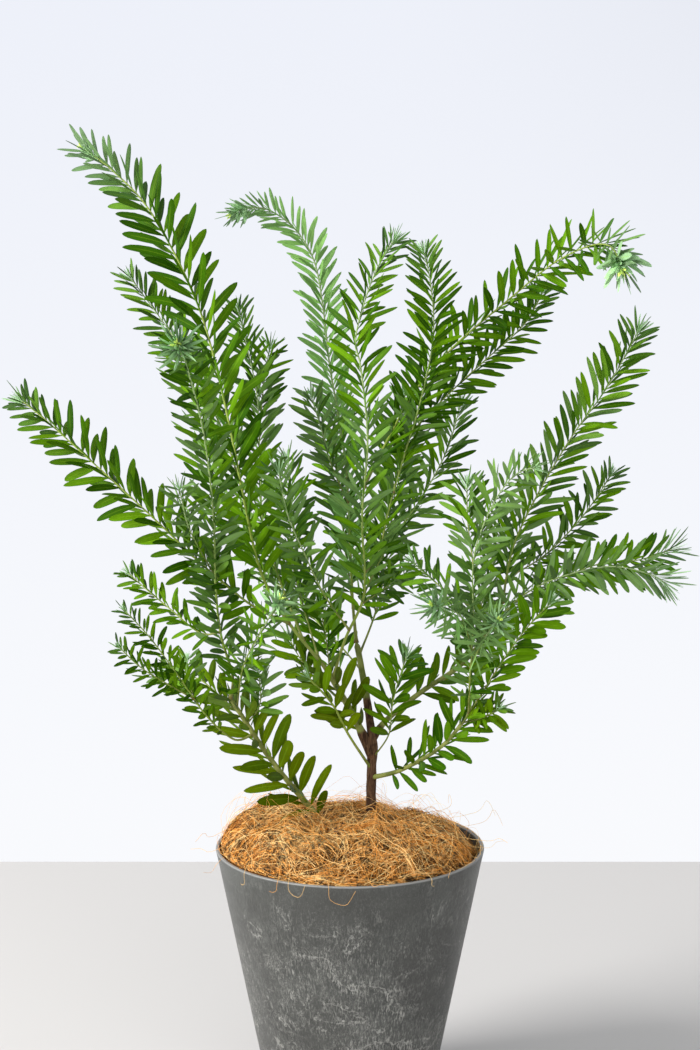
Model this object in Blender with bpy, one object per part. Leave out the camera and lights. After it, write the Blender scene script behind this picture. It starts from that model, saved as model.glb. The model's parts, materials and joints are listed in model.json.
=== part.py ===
"""Potted acacia: a tapered planter with its root ball, a mulch of coir fibre, and a young plant
whose woody limbs carry leafy shoots. Metres, +Z up. The origin is the centre of the pot's base."""
import math
from dataclasses import dataclass

import bmesh
import bpy
from mathutils import Vector
from mathutils.bvhtree import BVHTree

MM = 0.001
GAP = 0.0004                     # air left between pieces that touch

# Pot
POT_HEIGHT = 0.205
POT_RIM_RADIUS = 0.105
POT_BASE_RADIUS = 0.064
POT_WALL = 0.0032
POT_FLOOR = 0.006
POT_EDGE = 0.0012                # small round-over at the lip and the base
POT_SIDES = 48
DRAIN_RADIUS = 0.006
DRAIN_CIRCLE = 0.032             # the drain holes stand on this radius, clear of the centre
DRAIN_COUNT = 3
DRAIN_TURN = math.radians(101)    # where the first hole stands

# Root ball and mulch
SOIL_TOP = 0.190
SOIL_SIDES = 32
MULCH_CREST = 0.0230             # mean height of the mound over the rim
MULCH_LEAN = 0.0095              # the mound is this much higher at the left edge, lower at the right
MULCH_REAR_FALL = 0.0110         # and this much lower at the back
MULCH_RIPPLE = 0.0020            # hollows and humps on the heap
MULCH_EDGE_DROP = 0.003          # the heap meets the wall this far below the lip
MULCH_GAP = 0.0135               # and lies this much lower still where it has settled off the wall
MULCH_GAP_FROM = 0.70            # share of the radius where that starts
MULCH_GAP_BEARING = math.radians(22)   # to the right and a little to the back
MULCH_RINGS = (0.22, 0.42, 0.60, 0.75, 0.86, 0.94, 1.0)
MULCH_SIDES = 32
MULCH_SHOULDER = 0.0165          # no part of the heap's edge lies lower than this under the lip
MULCH_STEEPNESS = 4.0            # how late the heap falls off towards the wall
MULCH_STEEPER_LEFT = 2.5         # added on the left, where the heap stands up like a bank

# Stems and leaves
STEM_SIDES = 4
WOOD_SIDES = 8
WOOD_STEP = 0.009
LEAF_PITCH = 0.010               # stem length between two modelled leaves
LEAF_TURN = math.radians(137.5)  # the spiral in which an acacia sets its leaves
LEAF_WIDTH_SHARE = 0.19          # blade width over blade length
LEAF_THICKNESS = 0.0009
LEAF_ANGLE = math.radians(48)    # between the stem and the lower half of the blade
LEAF_BEND = math.radians(12)     # how far the upper half of the blade turns outwards
LEAF_CLEARANCE = 0.0006          # air kept round every blade
SMALLEST_LEAF = 0.010
LEAF_TRIES = ((0, 1), (0.6, 1), (-0.6, 1), (0, 0.75), (1.2, 0.9), (-1.2, 0.9),
              (0.5, 0.6), (-0.5, 0.6), (2.4, 0.8), (3.1, 0.6))   # turn in radians, size
LEAF_FREE_FROM = 0.04            # share of the blade from which it must be clear of the rest
LEAF_FREE_OF_OWN_FROM = 0.35     # and of its own stem
BASE_FULLNESS = 0.82             # blade length over the stem's stated one, at the stem's base
MIDDLE_FULLNESS = 0.30           # added at the middle
YOUNG_FROM = 0.72                # share of the stem where the young leaves start
YOUNG_LOSS = 0.42                # and what they lose by the tip
SPLINE_STEPS = 24


@dataclass
class Stem:
    """One grown stem: where it leaves its parent, its thickness, its leaves and its route."""
    name: str
    parent: str                  # "" for a stem that comes out of the root ball
    share: float                 # how far along the parent it starts, 1 at the parent's end
    radii: tuple                 # at the base and at the tip, in millimetres
    leaf: float                  # blade length at mid stem in millimetres, 0 for a bare stem
    bare: float                  # leafless share at the base
    route: tuple                 # points in millimetres


WOOD = (
    Stem("trunk", "", 0, (4.9, 2.2), 0, 1,
         ((13, 5, 150), (15, 4, 180), (16, 4, 215), (17, 2, 270), (17, 0, 292),
          (13, 8, 320), (9, 18, 343), (5, 28, 361))),
    Stem("stem_low_left", "", 0, (2.7, 1.7), 34, 0.36,
         ((2, 24, 165), (-6, 18, 195), (-20, 10, 219), (-40, 0, 246), (-62, -14, 279),
          (-80, -26, 311), (-91, -32, 331))),
    Stem("limb_left", "trunk", 0.58, (2.9, 2.2), 30, 0.3,
         ((5, -5, 306), (-5, -8, 325), (-18, -12, 349))),
    Stem("limb_right", "trunk", 0.64, (2.2, 1.6), 26, 0.34,
         ((28, 5, 304), (56, 10, 326), (84, 15, 344), (105, 20, 367), (119, 25, 393))),
    Stem("limb_low_right", "trunk", 0.50, (1.8, 1.3), 27, 0.18,
         ((40, -18, 271), (72, -42, 298), (96, -55, 335))),
)

SHOOTS = (
    Stem("shoot_arch", "trunk", 1.0, (2.0, 0.6), 24, 0.12,
         ((2, 45, 392), (0, 58, 437), (-3, 61, 493), (-10, 65, 540), (-16, 69, 575),
          (-21, 76, 618), (-28, 83, 655), (-43, 86, 680), (-63, 80, 695), (-79, 68, 697),
          (-96, 55, 691))),
    Stem("shoot_high_left", "limb_left", 1.0, (2.1, 0.7), 36, 0.20,
         ((-49, -18, 390), (-68, -25, 429), (-79, -30, 480), (-89, -25, 532), (-104, 0, 592),
          (-121, 15, 640), (-152, 32, 696), (-182, 45, 727), (-210, 52, 747))),
    Stem("shoot_centre", "limb_left", 0.88, (2.0, 0.6), 27, 0.18,
         ((-4, -18, 373), (9, -32, 405), (11, -42, 428), (9, -52, 476), (13, -55, 533),
          (8, -48, 585), (4, -40, 605), (12, -25, 636), (23, -12, 661), (37, 0, 682))),
    Stem("shoot_front_left", "shoot_centre", 0.12, (1.2, 0.5), 26, 0.10,
         ((-19, -48, 414), (-35, -70, 453), (-46, -84, 483), (-53, -92, 522))),
    Stem("shoot_far_left", "shoot_high_left", 0.10, (1.6, 0.6), 29, 0.14,
         ((-75, -42, 406), (-108, -55, 437), (-148, -55, 476), (-194, -42, 516),
          (-228, -28, 544), (-252, -20, 562))),
    Stem("twig_far_left", "shoot_far_left", 0.28, (0.8, 0.5), 22, 0.10,
         ((-117, -85, 470), (-121, -108, 496), (-123, -120, 511))),
    Stem("shoot_behind_high_left", "shoot_high_left", 0.34, (1.3, 0.5), 27, 0.10,
         ((-98, 20, 530), (-124, 68, 575), (-150, 88, 610), (-178, 96, 647))),
    Stem("shoot_near_left", "stem_low_left", 1.0, (1.7, 0.6), 27, 0.10,
         ((-89, -38, 350), (-97, -46, 383), (-100, -60, 424), (-100, -82, 482),
          (-105, -104, 543), (-114, -136, 594), (-118, -185, 617))),
    Stem("shoot_left", "shoot_near_left", 0.17, (1.1, 0.5), 18, 0.10,
         ((-113, -42, 384), (-137, -28, 400), (-156, -16, 413), (-175, -6, 428))),
    Stem("shoot_low_left", "stem_low_left", 0.82, (1.4, 0.5), 15.5, 0.20,
         ((-88, -34, 299), (-107, -56, 322), (-125, -70, 353), (-148, -80, 389),
          (-171, -86, 416))),
    Stem("twig_low_left", "shoot_low_left", 0.44, (0.9, 0.5), 15, 0.16,
         ((-135, -82, 354), (-154, -98, 371), (-172, -110, 393))),
    Stem("shoot_silver_left", "stem_low_left", 0.95, (1.2, 0.5), 24, 0.12,
         ((-80, -62, 362), (-67, -95, 393), (-56, -120, 416), (-48, -140, 432))),
    Stem("twig_left_upright", "stem_low_left", 0.87, (0.8, 0.5), 24, 0.15,
         ((-68, -40, 330), (-70, -52, 365))),
    Stem("twig_left_tiny", "shoot_low_left", 0.42, (0.7, 0.5), 18, 0.15,
         ((-123, -50, 353), (-122, -40, 370))),
    Stem("twig_left_behind", "stem_low_left", 0.91, (0.9, 0.5), 24, 0.15,
         ((-113, -8, 338), (-128, 5, 339), (-150, 18, 340))),
    Stem("shoot_left_centre", "shoot_high_left", 0.06, (1.5, 0.5), 25, 0.10,
         ((-65, 25, 443), (-70, 42, 496), (-72, 48, 550), (-80, 54, 590), (-89, 60, 627))),
    Stem("twig_left_centre", "shoot_left_centre", 0.60, (0.8, 0.5), 23, 0.10,
         ((-67, 66, 567), (-61, 80, 595))),
    Stem("twig_arch", "shoot_arch", 0.28, (1.0, 0.5), 24, 0.10,
         ((-14, 42, 498), (-22, 35, 528), (-32, 32, 561))),
    Stem("shoot_right_centre", "shoot_centre", 0.27, (1.5, 0.5), 27, 0.10,
         ((21, -22, 439), (30, -2, 473), (41, 8, 510), (54, 7, 555), (63, 0, 605),
          (60, -7, 647), (53, -10, 675))),
    Stem("shoot_high_right", "shoot_centre", 0.45, (1.6, 0.6), 29, 0.08,
         ((26, -12, 522), (52, 32, 561), (83, 40, 595), (122, 20, 631), (151, -12, 659),
          (175, -52, 675), (187, -90, 676), (192, -122, 661))),
    Stem("shoot_second_right", "shoot_right_centre", 0.28, (1.2, 0.5), 25, 0.10,
         ((45, 24, 522), (70, 34, 550), (103, 42, 580), (135, 42, 610), (151, 38, 641))),
    Stem("shoot_third_right", "shoot_centre", 0.22, (1.2, 0.5), 26, 0.15,
         ((31, 20, 442), (55, 48, 471), (75, 62, 505), (84, 68, 532), (89, 72, 550))),
    Stem("twig_centre", "shoot_centre", 0.19, (0.8, 0.5), 22, 0.15,
         ((27, -18, 414), (49, 12, 424))),
    Stem("shoot_far_right", "limb_right", 1.0, (1.5, 0.5), 30, 0.06,
         ((127, 30, 436), (146, 36, 477), (173, 40, 523), (199, 38, 561), (225, 30, 612))),
    Stem("shoot_back_right", "shoot_far_right", 0.08, (1.1, 0.5), 24, 0.12,
         ((154, 58, 425), (186, 76, 454), (212, 82, 492))),
    Stem("shoot_out_right", "limb_right", 0.86, (1.3, 0.5), 25, 0.08,
         ((132, -10, 406), (158, -38, 426), (193, -58, 438), (223, -64, 433),
          (239, -66, 423))),
    Stem("shoot_out_right_back", "shoot_out_right", 0.22, (0.9, 0.5), 24, 0.12,
         ((185, 5, 426), (225, 18, 429), (256, 22, 439))),
    Stem("shoot_low_right", "limb_low_right", 1.0, (1.1, 0.5), 25, 0.06,
         ((114, -60, 366), (132, -64, 393), (154, -68, 418))),
    Stem("shoot_near_right", "limb_low_right", 0.90, (1.3, 0.5), 25, 0.06,
         ((89, -74, 355), (90, -100, 403), (89, -115, 454), (100, -122, 491),
          (116, -140, 519), (133, -165, 529))),
    Stem("twig_near_right", "shoot_near_right", 0.56, (0.8, 0.5), 23, 0.12,
         ((85, -103, 481), (85, -90, 512))),
    Stem("shoot_near_front", "shoot_near_right", 0.26, (1.0, 0.5), 24, 0.15,
         ((79, -132, 416), (55, -185, 436))),
    Stem("shoot_silver_right", "shoot_near_right", 0.20, (1.0, 0.5), 24, 0.15,
         ((96, -125, 397), (105, -175, 424))),
    Stem("twig_inward_right", "shoot_near_right", 0.42, (0.8, 0.5), 22, 0.15,
         ((66, -88, 429), (41, -72, 449))),
    Stem("twig_trunk_right", "trunk", 0.57, (1.0, 0.5), 26, 0.30,
         ((30, -14, 298), (33, -26, 328), (45, -34, 371))),
    Stem("twig_low_right", "limb_low_right", 0.82, (0.7, 0.5), 18, 0.15,
         ((101, -66, 325), (116, -78, 338))),
    Stem("twig_trunk_left", "trunk", 0.53, (1.8, 0.9), 24, 0.45,
         ((-1, -20, 299), (-14, -32, 327), (-36, -42, 354))),
    Stem("twig_fork", "limb_left", 0.94, (0.8, 0.5), 22, 0.10,
         ((-18, 6, 365), (-25, 22, 399))),
    Stem("twig_pale", "limb_left", 0.72, (0.8, 0.5), 22, 0.25,
         ((-35, 18, 345), (-51, 38, 369))),
    Stem("shoot_rear_centre", "shoot_arch", 0.07, (1.3, 0.5), 26, 0.10,
         ((-3, 90, 419), (-10, 125, 475), (-13, 150, 542))),
    Stem("shoot_rear_right", "trunk", 0.95, (1.4, 0.5), 26, 0.15,
         ((24, 70, 390), (36, 125, 458), (44, 160, 549))),
    Stem("shoot_rear_left", "shoot_high_left", 0.02, (1.2, 0.5), 26, 0.15,
         ((-46, 45, 424), (-47, 85, 465), (-52, 112, 501))),
    Stem("shoot_rear_low_right", "limb_right", 0.68, (1.1, 0.5), 25, 0.12,
         ((106, 72, 386), (120, 112, 423), (126, 135, 453))),
    Stem("shoot_rear_far_left", "shoot_high_left", 0.14, (1.1, 0.5), 25, 0.15,
         ((-79, 45, 432), (-98, 90, 460), (-112, 118, 491))),
    Stem("shoot_rear_low", "trunk", 0.89, (1.2, 0.5), 26, 0.15,
         ((-12, 65, 355), (-41, 110, 374), (-68, 145, 392))),
)

COLOURS = {
    "pot": ((0.127, 0.127, 0.115), 0.75),
    "root_ball": ((0.030, 0.019, 0.012), 0.95),
    "coir_mulch": ((0.440, 0.202, 0.058), 0.9),
    "wood": ((0.070, 0.045, 0.030), 0.85),
    "shoot": ((0.062, 0.130, 0.036), 0.55),
}


def clear_scene():
    """Remove what the file opened with."""
    for item in list(bpy.data.objects):
        bpy.data.objects.remove(item, do_unlink=True)


def material(name, kind):
    """A Principled material of one of the colours above."""
    colour, roughness = COLOURS[kind]
    made = bpy.data.materials.new(name + "_finish")
    made.use_nodes = True
    shader = made.node_tree.nodes["Principled BSDF"]
    shader.inputs["Base Color"].default_value = (*colour, 1.0)
    shader.inputs["Roughness"].default_value = roughness
    made.diffuse_color = (*colour, 1.0)
    return made


def new_object(name, bm, kind, smooth_angle=math.radians(40)):
    """Turn a finished bmesh into a named object with its material."""
    mesh = bpy.data.meshes.new(name)
    bm.to_mesh(mesh)
    bm.free()
    mesh.shade_smooth()
    mesh.set_sharp_from_angle(angle=smooth_angle)
    item = bpy.data.objects.new(name, mesh)
    bpy.context.scene.collection.objects.link(item)
    mesh.materials.append(material(name, kind))
    return item


# ---------------------------------------------------------------- routes and tubes

def spline(points):
    """Fine points on a smooth curve that goes through the given ones."""
    fine = []
    last = len(points) - 1
    for i in range(last):
        before, start, end = points[max(i - 1, 0)], points[i], points[i + 1]
        after = points[min(i + 2, last)]
        for step in range(SPLINE_STEPS):
            t = step / SPLINE_STEPS
            fine.append(0.5 * (2 * start + (end - before) * t
                               + (2 * before - 5 * start + 4 * end - after) * t ** 2
                               + (3 * start - before - 3 * end + after) * t ** 3))
    fine.append(points[last])
    return fine


def evenly(fine, pitch):
    """Points about one pitch apart along a fine curve, both ends kept."""
    lengths = [0.0]
    for a, b in zip(fine, fine[1:]):
        lengths.append(lengths[-1] + (b - a).length)
    count = max(2, round(lengths[-1] / pitch))
    even = []
    at = 0
    for i in range(count + 1):
        wanted = lengths[-1] * i / count
        while at < len(fine) - 2 and lengths[at + 1] < wanted:
            at += 1
        share = (wanted - lengths[at]) / max(lengths[at + 1] - lengths[at], 1e-9)
        even.append(fine[at].lerp(fine[at + 1], min(max(share, 0.0), 1.0)))
    return even


class Route:
    """A stem's centre line with its thickness and turning frame."""

    def __init__(self, points, pitch, radii):
        self.points = evenly(spline(points), pitch)
        self.radii = radii
        self.count = len(self.points)
        self.tangents = []
        for i in range(self.count):
            ahead = self.points[min(i + 1, self.count - 1)]
            behind = self.points[max(i - 1, 0)]
            self.tangents.append((ahead - behind).normalized())
        side = self.tangents[0].orthogonal().normalized()
        self.sides = []
        for tangent in self.tangents:
            side = (side - tangent * side.dot(tangent)).normalized()
            self.sides.append(side.copy())

    def radius(self, i):
        """The stem's radius at point i."""
        base, tip = self.radii
        return MM * (base + (tip - base) * i / (self.count - 1))

    def at(self, share):
        """The point, the direction and the radius at a share of the length."""
        place = share * (self.count - 1)
        i = min(int(place), self.count - 2)
        point = self.points[i].lerp(self.points[i + 1], place - i)
        tangent = self.tangents[i].lerp(self.tangents[i + 1], place - i).normalized()
        return point, tangent, self.radius(i)

    def ring(self, i, sides, extra=0.0):
        """The corners of the stem's section at point i, anticlockwise round its direction."""
        tangent, side = self.tangents[i], self.sides[i]
        across = tangent.cross(side)
        size = self.radius(i) + extra
        corners = []
        for k in range(sides):
            turn = 2 * math.pi * k / sides
            corners.append(self.points[i] + size * (math.cos(turn) * side + math.sin(turn) * across))
        return corners


def seat_on_parent(ring, route, parent, share):
    """Slide the base corners along the stem until they sit just off the parent's surface."""
    point, along, radius = parent.at(share)
    heading = route.tangents[0]
    if share > 0.99:
        plane, offset = along, GAP
    else:
        plane = (heading - along * heading.dot(along)).normalized()
        offset = radius + GAP
    slope = max(heading.dot(plane), 0.25)
    return [corner + heading * ((offset - (corner - point).dot(plane)) / slope) for corner in ring]


def stem_rings(stem, route, parent, sides):
    """All the rings of a stem, with the base fitted to its parent."""
    rings = [route.ring(i, sides) for i in range(route.count)]
    if parent is None:
        return rings
    rings[0] = seat_on_parent(rings[0], route, parent, stem.share)
    keep = 1
    reach = max((corner - route.points[0]).dot(route.tangents[0]) for corner in rings[0])
    while keep < route.count - 2:
        if (route.points[keep] - route.points[0]).dot(route.tangents[0]) > reach + 0.001:
            break
        keep += 1
    return [rings[0]] + rings[keep:]


def tube_mesh(rings):
    """Corners and outward faces of a closed tube."""
    sides = len(rings[0])
    corners = [corner for ring in rings for corner in ring]
    faces = [tuple(reversed(range(sides)))]
    for i in range(len(rings) - 1):
        for k in range(sides):
            low, high = i * sides, (i + 1) * sides
            faces.append((low + k, low + (k + 1) % sides, high + (k + 1) % sides, high + k))
    top = (len(rings) - 1) * sides
    faces.append(tuple(range(top, top + sides)))
    return corners, faces


# ---------------------------------------------------------------- leaves

def blade(root, tangent, outward, length, grow=0.0):
    """The middle corners and the tip of a leaf blade that stands edge-on to the stem."""
    across = tangent.cross(outward).normalized()
    rise = math.cos(LEAF_ANGLE) * tangent + math.sin(LEAF_ANGLE) * outward
    edge = math.sin(LEAF_ANGLE) * tangent - math.cos(LEAF_ANGLE) * outward
    bent = LEAF_ANGLE + LEAF_BEND
    point = math.cos(bent) * tangent + math.sin(bent) * outward
    middle = root + rise * length * 0.5
    half_width = edge * (length * LEAF_WIDTH_SHARE / 2 + grow)
    half_thick = across * (LEAF_THICKNESS / 2 + grow)
    corners = [middle - half_width - half_thick, middle - half_width + half_thick,
               middle + half_width + half_thick, middle + half_width - half_thick]
    return corners, middle + point * (length * 0.5 + grow)


BLADE_FACES = ((0, 1, 5, 4), (1, 2, 6, 5), (2, 3, 7, 6), (3, 0, 4, 7),
               (4, 5, 8), (5, 6, 8), (6, 7, 8), (7, 4, 8))


def probe(root_corners, corners, tip, start):
    """A search tree of a blade, left open over its first share next to the stem."""
    begin = [a.lerp(b, start) for a, b in zip(root_corners, corners)]
    return BVHTree.FromPolygons(begin + corners + [tip], BLADE_FACES + ((3, 2, 1, 0),))


class Garden:
    """What has been grown so far, so that each new blade finds free air."""

    def __init__(self):
        self.stems = {}
        self.leaves = {}
        self.solids = []

    def is_free(self, name, tree, own_tree, own_leaves):
        """True where the blade meets no solid, no other stem and no other leaf."""
        for solid in self.solids:
            if solid.overlap(tree):
                return False
        for other, stem in self.stems.items():
            if stem.overlap(own_tree if other == name else tree):
                return False
        if any(leaves.overlap(tree) for leaves in self.leaves.values()):
            return False
        return not any(leaf.overlap(own_tree) for leaf in own_leaves)


def leaf_length(stem, share):
    """Blade length at a share of the stem: fullest near the middle, short at the tip."""
    fullness = BASE_FULLNESS + MIDDLE_FULLNESS * math.sin(math.pi * min(share * 1.15, 1.0))
    young = max(0.0, share - YOUNG_FROM) / (1 - YOUNG_FROM)
    return stem.leaf * MM * (fullness - YOUNG_LOSS * young)


def grow_shoot(stem, rings, garden):
    """A stem and its leaves as one closed body."""
    corners, faces = tube_mesh(rings)
    sides = len(rings[0])
    centres = [sum(ring, Vector()) / sides for ring in rings]
    own_leaves = []
    grown = []
    turn = 0.0
    last = len(rings) - 1
    for i in range(1 if stem.parent else 2, last):
        turn += LEAF_TURN
        share = (i + 0.5) / last
        if share < stem.bare:
            continue
        tangent = (centres[i + 1] - centres[i]).normalized()
        side = (rings[i][0] - centres[i]).normalized()
        side = (side - tangent * side.dot(tangent)).normalized()
        for nudge, shrink in LEAF_TRIES:
            angle = turn + nudge
            length = leaf_length(stem, share) * shrink
            if length < SMALLEST_LEAF:
                continue
            outward = math.cos(angle) * side + math.sin(angle) * tangent.cross(side)
            k = int((angle % (2 * math.pi)) / (2 * math.pi) * sides) % sides
            root_at = [i * sides + k, i * sides + (k + 1) % sides,
                       (i + 1) * sides + (k + 1) % sides, (i + 1) * sides + k]
            root_corners = [corners[n] for n in root_at]
            root = sum(root_corners, Vector()) / 4
            wide, wide_tip = blade(root, tangent, outward, length, LEAF_CLEARANCE)
            tree = probe(root_corners, wide, wide_tip, LEAF_FREE_FROM)
            own_tree = probe(root_corners, wide, wide_tip, LEAF_FREE_OF_OWN_FROM)
            if garden.is_free(stem.name, tree, own_tree, own_leaves):
                middle, tip = blade(root, tangent, outward, length)
                grown.append((root_at, middle, tip))
                own_leaves.append(own_tree)
                break
    for root_at, middle, tip in grown:
        start = len(corners)
        corners += middle + [tip]
        faces = [face for face in faces if face != tuple(root_at)]
        names = root_at + list(range(start, start + 5))
        faces += [tuple(names[n] for n in face) for face in BLADE_FACES]
    garden.leaves[stem.name] = BVHTree.FromPolygons(corners, faces)
    return corners, faces


def mesh_from(corners, faces):
    """A bmesh of the given corners and faces."""
    bm = bmesh.new()
    points = [bm.verts.new(corner) for corner in corners]
    for face in faces:
        bm.faces.new([points[n] for n in face])
    return bm


# ---------------------------------------------------------------- pot, root ball and mulch

def circle(radius, count):
    """Evenly spaced points (x, y) on a circle."""
    return [(radius * math.cos(2 * math.pi * k / count), radius * math.sin(2 * math.pi * k / count))
            for k in range(count)]


def turned(profile, sides):
    """A bmesh turned from a profile that starts and ends on the axis."""
    rings = []
    bm = bmesh.new()
    for radius, height in profile:
        if radius == 0.0:
            rings.append([bm.verts.new((0, 0, height))])
            continue
        rings.append([bm.verts.new((x, y, height)) for x, y in circle(radius, sides)])
    for low, high in zip(rings, rings[1:]):
        for k in range(sides):
            n = (k + 1) % sides
            if len(low) == 1:
                bm.faces.new((low[0], high[n], high[k]))
            elif len(high) == 1:
                bm.faces.new((low[k], low[n], high[0]))
            else:
                bm.faces.new((low[k], low[n], high[n], high[k]))
    return bm


def inner_radius(height):
    """The radius of the pot's inner wall at a height."""
    slope = (POT_RIM_RADIUS - POT_BASE_RADIUS) / POT_HEIGHT
    return POT_BASE_RADIUS + slope * height - POT_WALL


def cut(item, cutters):
    """Cut closed meshes out of an object."""
    for cutter in cutters:
        tool = item.modifiers.new("cut", "BOOLEAN")
        tool.operation = "DIFFERENCE"
        tool.solver = "EXACT"
        tool.object = cutter
        cutter.hide_render = True
        cutter.display_type = "WIRE"


def make_pot():
    """The planter: a thin tapered wall, a floor and three drain holes."""
    rim, base = POT_RIM_RADIUS, POT_BASE_RADIUS
    profile = [(0.0, 0.0), (base - POT_EDGE, 0.0), (base, POT_EDGE),
               (rim, POT_HEIGHT - POT_EDGE), (rim - POT_EDGE * 0.8, POT_HEIGHT),
               (rim - POT_WALL + POT_EDGE * 0.6, POT_HEIGHT),
               (inner_radius(POT_HEIGHT - POT_EDGE), POT_HEIGHT - POT_EDGE),
               (inner_radius(POT_FLOOR), POT_FLOOR), (0.0, POT_FLOOR)]
    pot = new_object("pot", turned(profile, POT_SIDES), "pot")
    cutters = []
    for k in range(DRAIN_COUNT):
        turn = 2 * math.pi * k / DRAIN_COUNT + DRAIN_TURN
        bm = bmesh.new()
        bmesh.ops.create_cone(bm, cap_ends=True, segments=16, radius1=DRAIN_RADIUS,
                              radius2=DRAIN_RADIUS, depth=4 * POT_FLOOR)
        cutter = new_object(f"drain_cutter_{k + 1}", bm, "pot")
        cutter.location = (DRAIN_CIRCLE * math.cos(turn), DRAIN_CIRCLE * math.sin(turn), 0)
        cutters.append(cutter)
    cut(pot, cutters)


def mound_height(x, y):
    """Height of the mulch over the rim: a shouldered heap that has settled off one side."""
    radius = inner_radius(POT_HEIGHT)
    share = min(math.hypot(x, y) / radius, 1.0)
    crest = MULCH_CREST - MULCH_LEAN * x / radius - MULCH_REAR_FALL * max(y, 0.0) / radius
    crest += MULCH_RIPPLE * math.sin(85 * x + 1.0) * math.cos(70 * y)
    away = max(0.0, math.cos(math.atan2(y, x) - MULCH_GAP_BEARING)) ** 3
    inward = max(0.0, share - MULCH_GAP_FROM) / (1 - MULCH_GAP_FROM)
    gap = MULCH_GAP * away * inward ** 1.3
    steep = MULCH_STEEPNESS + MULCH_STEEPER_LEFT * max(0.0, -x / radius)
    return crest * (1 - share ** steep) ** 0.7 - MULCH_EDGE_DROP * share ** 8 - gap


def make_mulch(stem_cutters):
    """The heap of coir fibre over the root ball, with room for the stems."""
    bm = bmesh.new()
    foot = SOIL_TOP + GAP
    wide = inner_radius(POT_HEIGHT - MULCH_SHOULDER) - GAP
    rings = [[bm.verts.new((0, 0, POT_HEIGHT + mound_height(0, 0)))]]
    for share in MULCH_RINGS:
        ring = []
        for x, y in circle(wide * share, MULCH_SIDES):
            ring.append(bm.verts.new((x, y, POT_HEIGHT + mound_height(x, y))))
        rings.append(ring)
    edge = inner_radius(foot) - GAP
    rings.append([bm.verts.new((x, y, foot)) for x, y in circle(edge, MULCH_SIDES)])
    for inner, outer in zip(rings, rings[1:]):
        for k in range(MULCH_SIDES):
            n = (k + 1) % MULCH_SIDES
            if len(inner) == 1:
                bm.faces.new((inner[0], outer[k], outer[n]))
            else:
                bm.faces.new((inner[k], outer[k], outer[n], inner[n]))
    bm.faces.new(list(reversed(rings[-1])))
    tree = BVHTree.FromBMesh(bm)
    mulch = new_object("coir_mulch", bm, "coir_mulch")
    cut(mulch, stem_cutters)
    return tree


def make_root_ball(stem_cutters):
    """The potting soil with its roots, which fills the pot up to the mulch."""
    profile = [(0.0, POT_FLOOR + GAP), (inner_radius(POT_FLOOR + GAP) - GAP, POT_FLOOR + GAP),
               (inner_radius(SOIL_TOP) - GAP, SOIL_TOP), (0.0, SOIL_TOP)]
    ball = new_object("root_ball", turned(profile, SOIL_SIDES), "root_ball")
    cut(ball, stem_cutters)


def make_stem_cutters(routes):
    """Slightly thicker copies of the two stems that come out of the root ball."""
    cutters = []
    for stem in WOOD:
        if stem.parent:
            continue
        route = routes[stem.name]
        rings = [route.ring(i, WOOD_SIDES, GAP * 1.5) for i in range(route.count)]
        lift = route.tangents[0] * GAP
        rings[0] = [corner - lift for corner in rings[0]]
        item = new_object(stem.name + "_room", mesh_from(*tube_mesh(rings)), "wood")
        cutters.append(item)
    return cutters


# ---------------------------------------------------------------- the plant

def trace_routes():
    """The centre line of every stem, each starting on its parent."""
    routes = {}
    for stem in WOOD + SHOOTS:
        points = [Vector(point) * MM for point in stem.route]
        if stem.parent:
            points.insert(0, routes[stem.parent].at(stem.share)[0])
        pitch = WOOD_STEP if stem in WOOD else LEAF_PITCH
        routes[stem.name] = Route(points, pitch, stem.radii)
    return routes


def make_plant(routes, solids):
    """Grow every stem, then its leaves, into free air."""
    garden = Garden()
    garden.solids = solids
    rings = {}
    for stem in WOOD + SHOOTS:
        sides = WOOD_SIDES if stem in WOOD else STEM_SIDES
        parent = routes.get(stem.parent)
        rings[stem.name] = stem_rings(stem, routes[stem.name], parent, sides)
        garden.stems[stem.name] = BVHTree.FromPolygons(*tube_mesh(rings[stem.name]))
    for stem in WOOD + SHOOTS:
        if stem.leaf:
            corners, faces = grow_shoot(stem, rings[stem.name], garden)
        else:
            corners, faces = tube_mesh(rings[stem.name])
        new_object(stem.name, mesh_from(corners, faces), "wood" if stem in WOOD else "shoot")


def main():
    clear_scene()
    routes = trace_routes()
    make_pot()
    cutters = make_stem_cutters(routes)
    make_root_ball(cutters)
    mulch = make_mulch(cutters)
    pot = BVHTree.FromObject(bpy.data.objects["pot"], bpy.context.evaluated_depsgraph_get())
    make_plant(routes, [mulch, pot])


main()
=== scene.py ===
"""Potted acacia: the finished look of the planter, its coir mulch, and the shrub with every leaf.

Run as a script. Sizes are in metres, +Z up, with the origin at the centre of the pot's base."""
import json
import math
import random
from collections import namedtuple

import bmesh
import bpy
from mathutils import Matrix, Vector, noise
from mathutils.bvhtree import BVHTree

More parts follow.
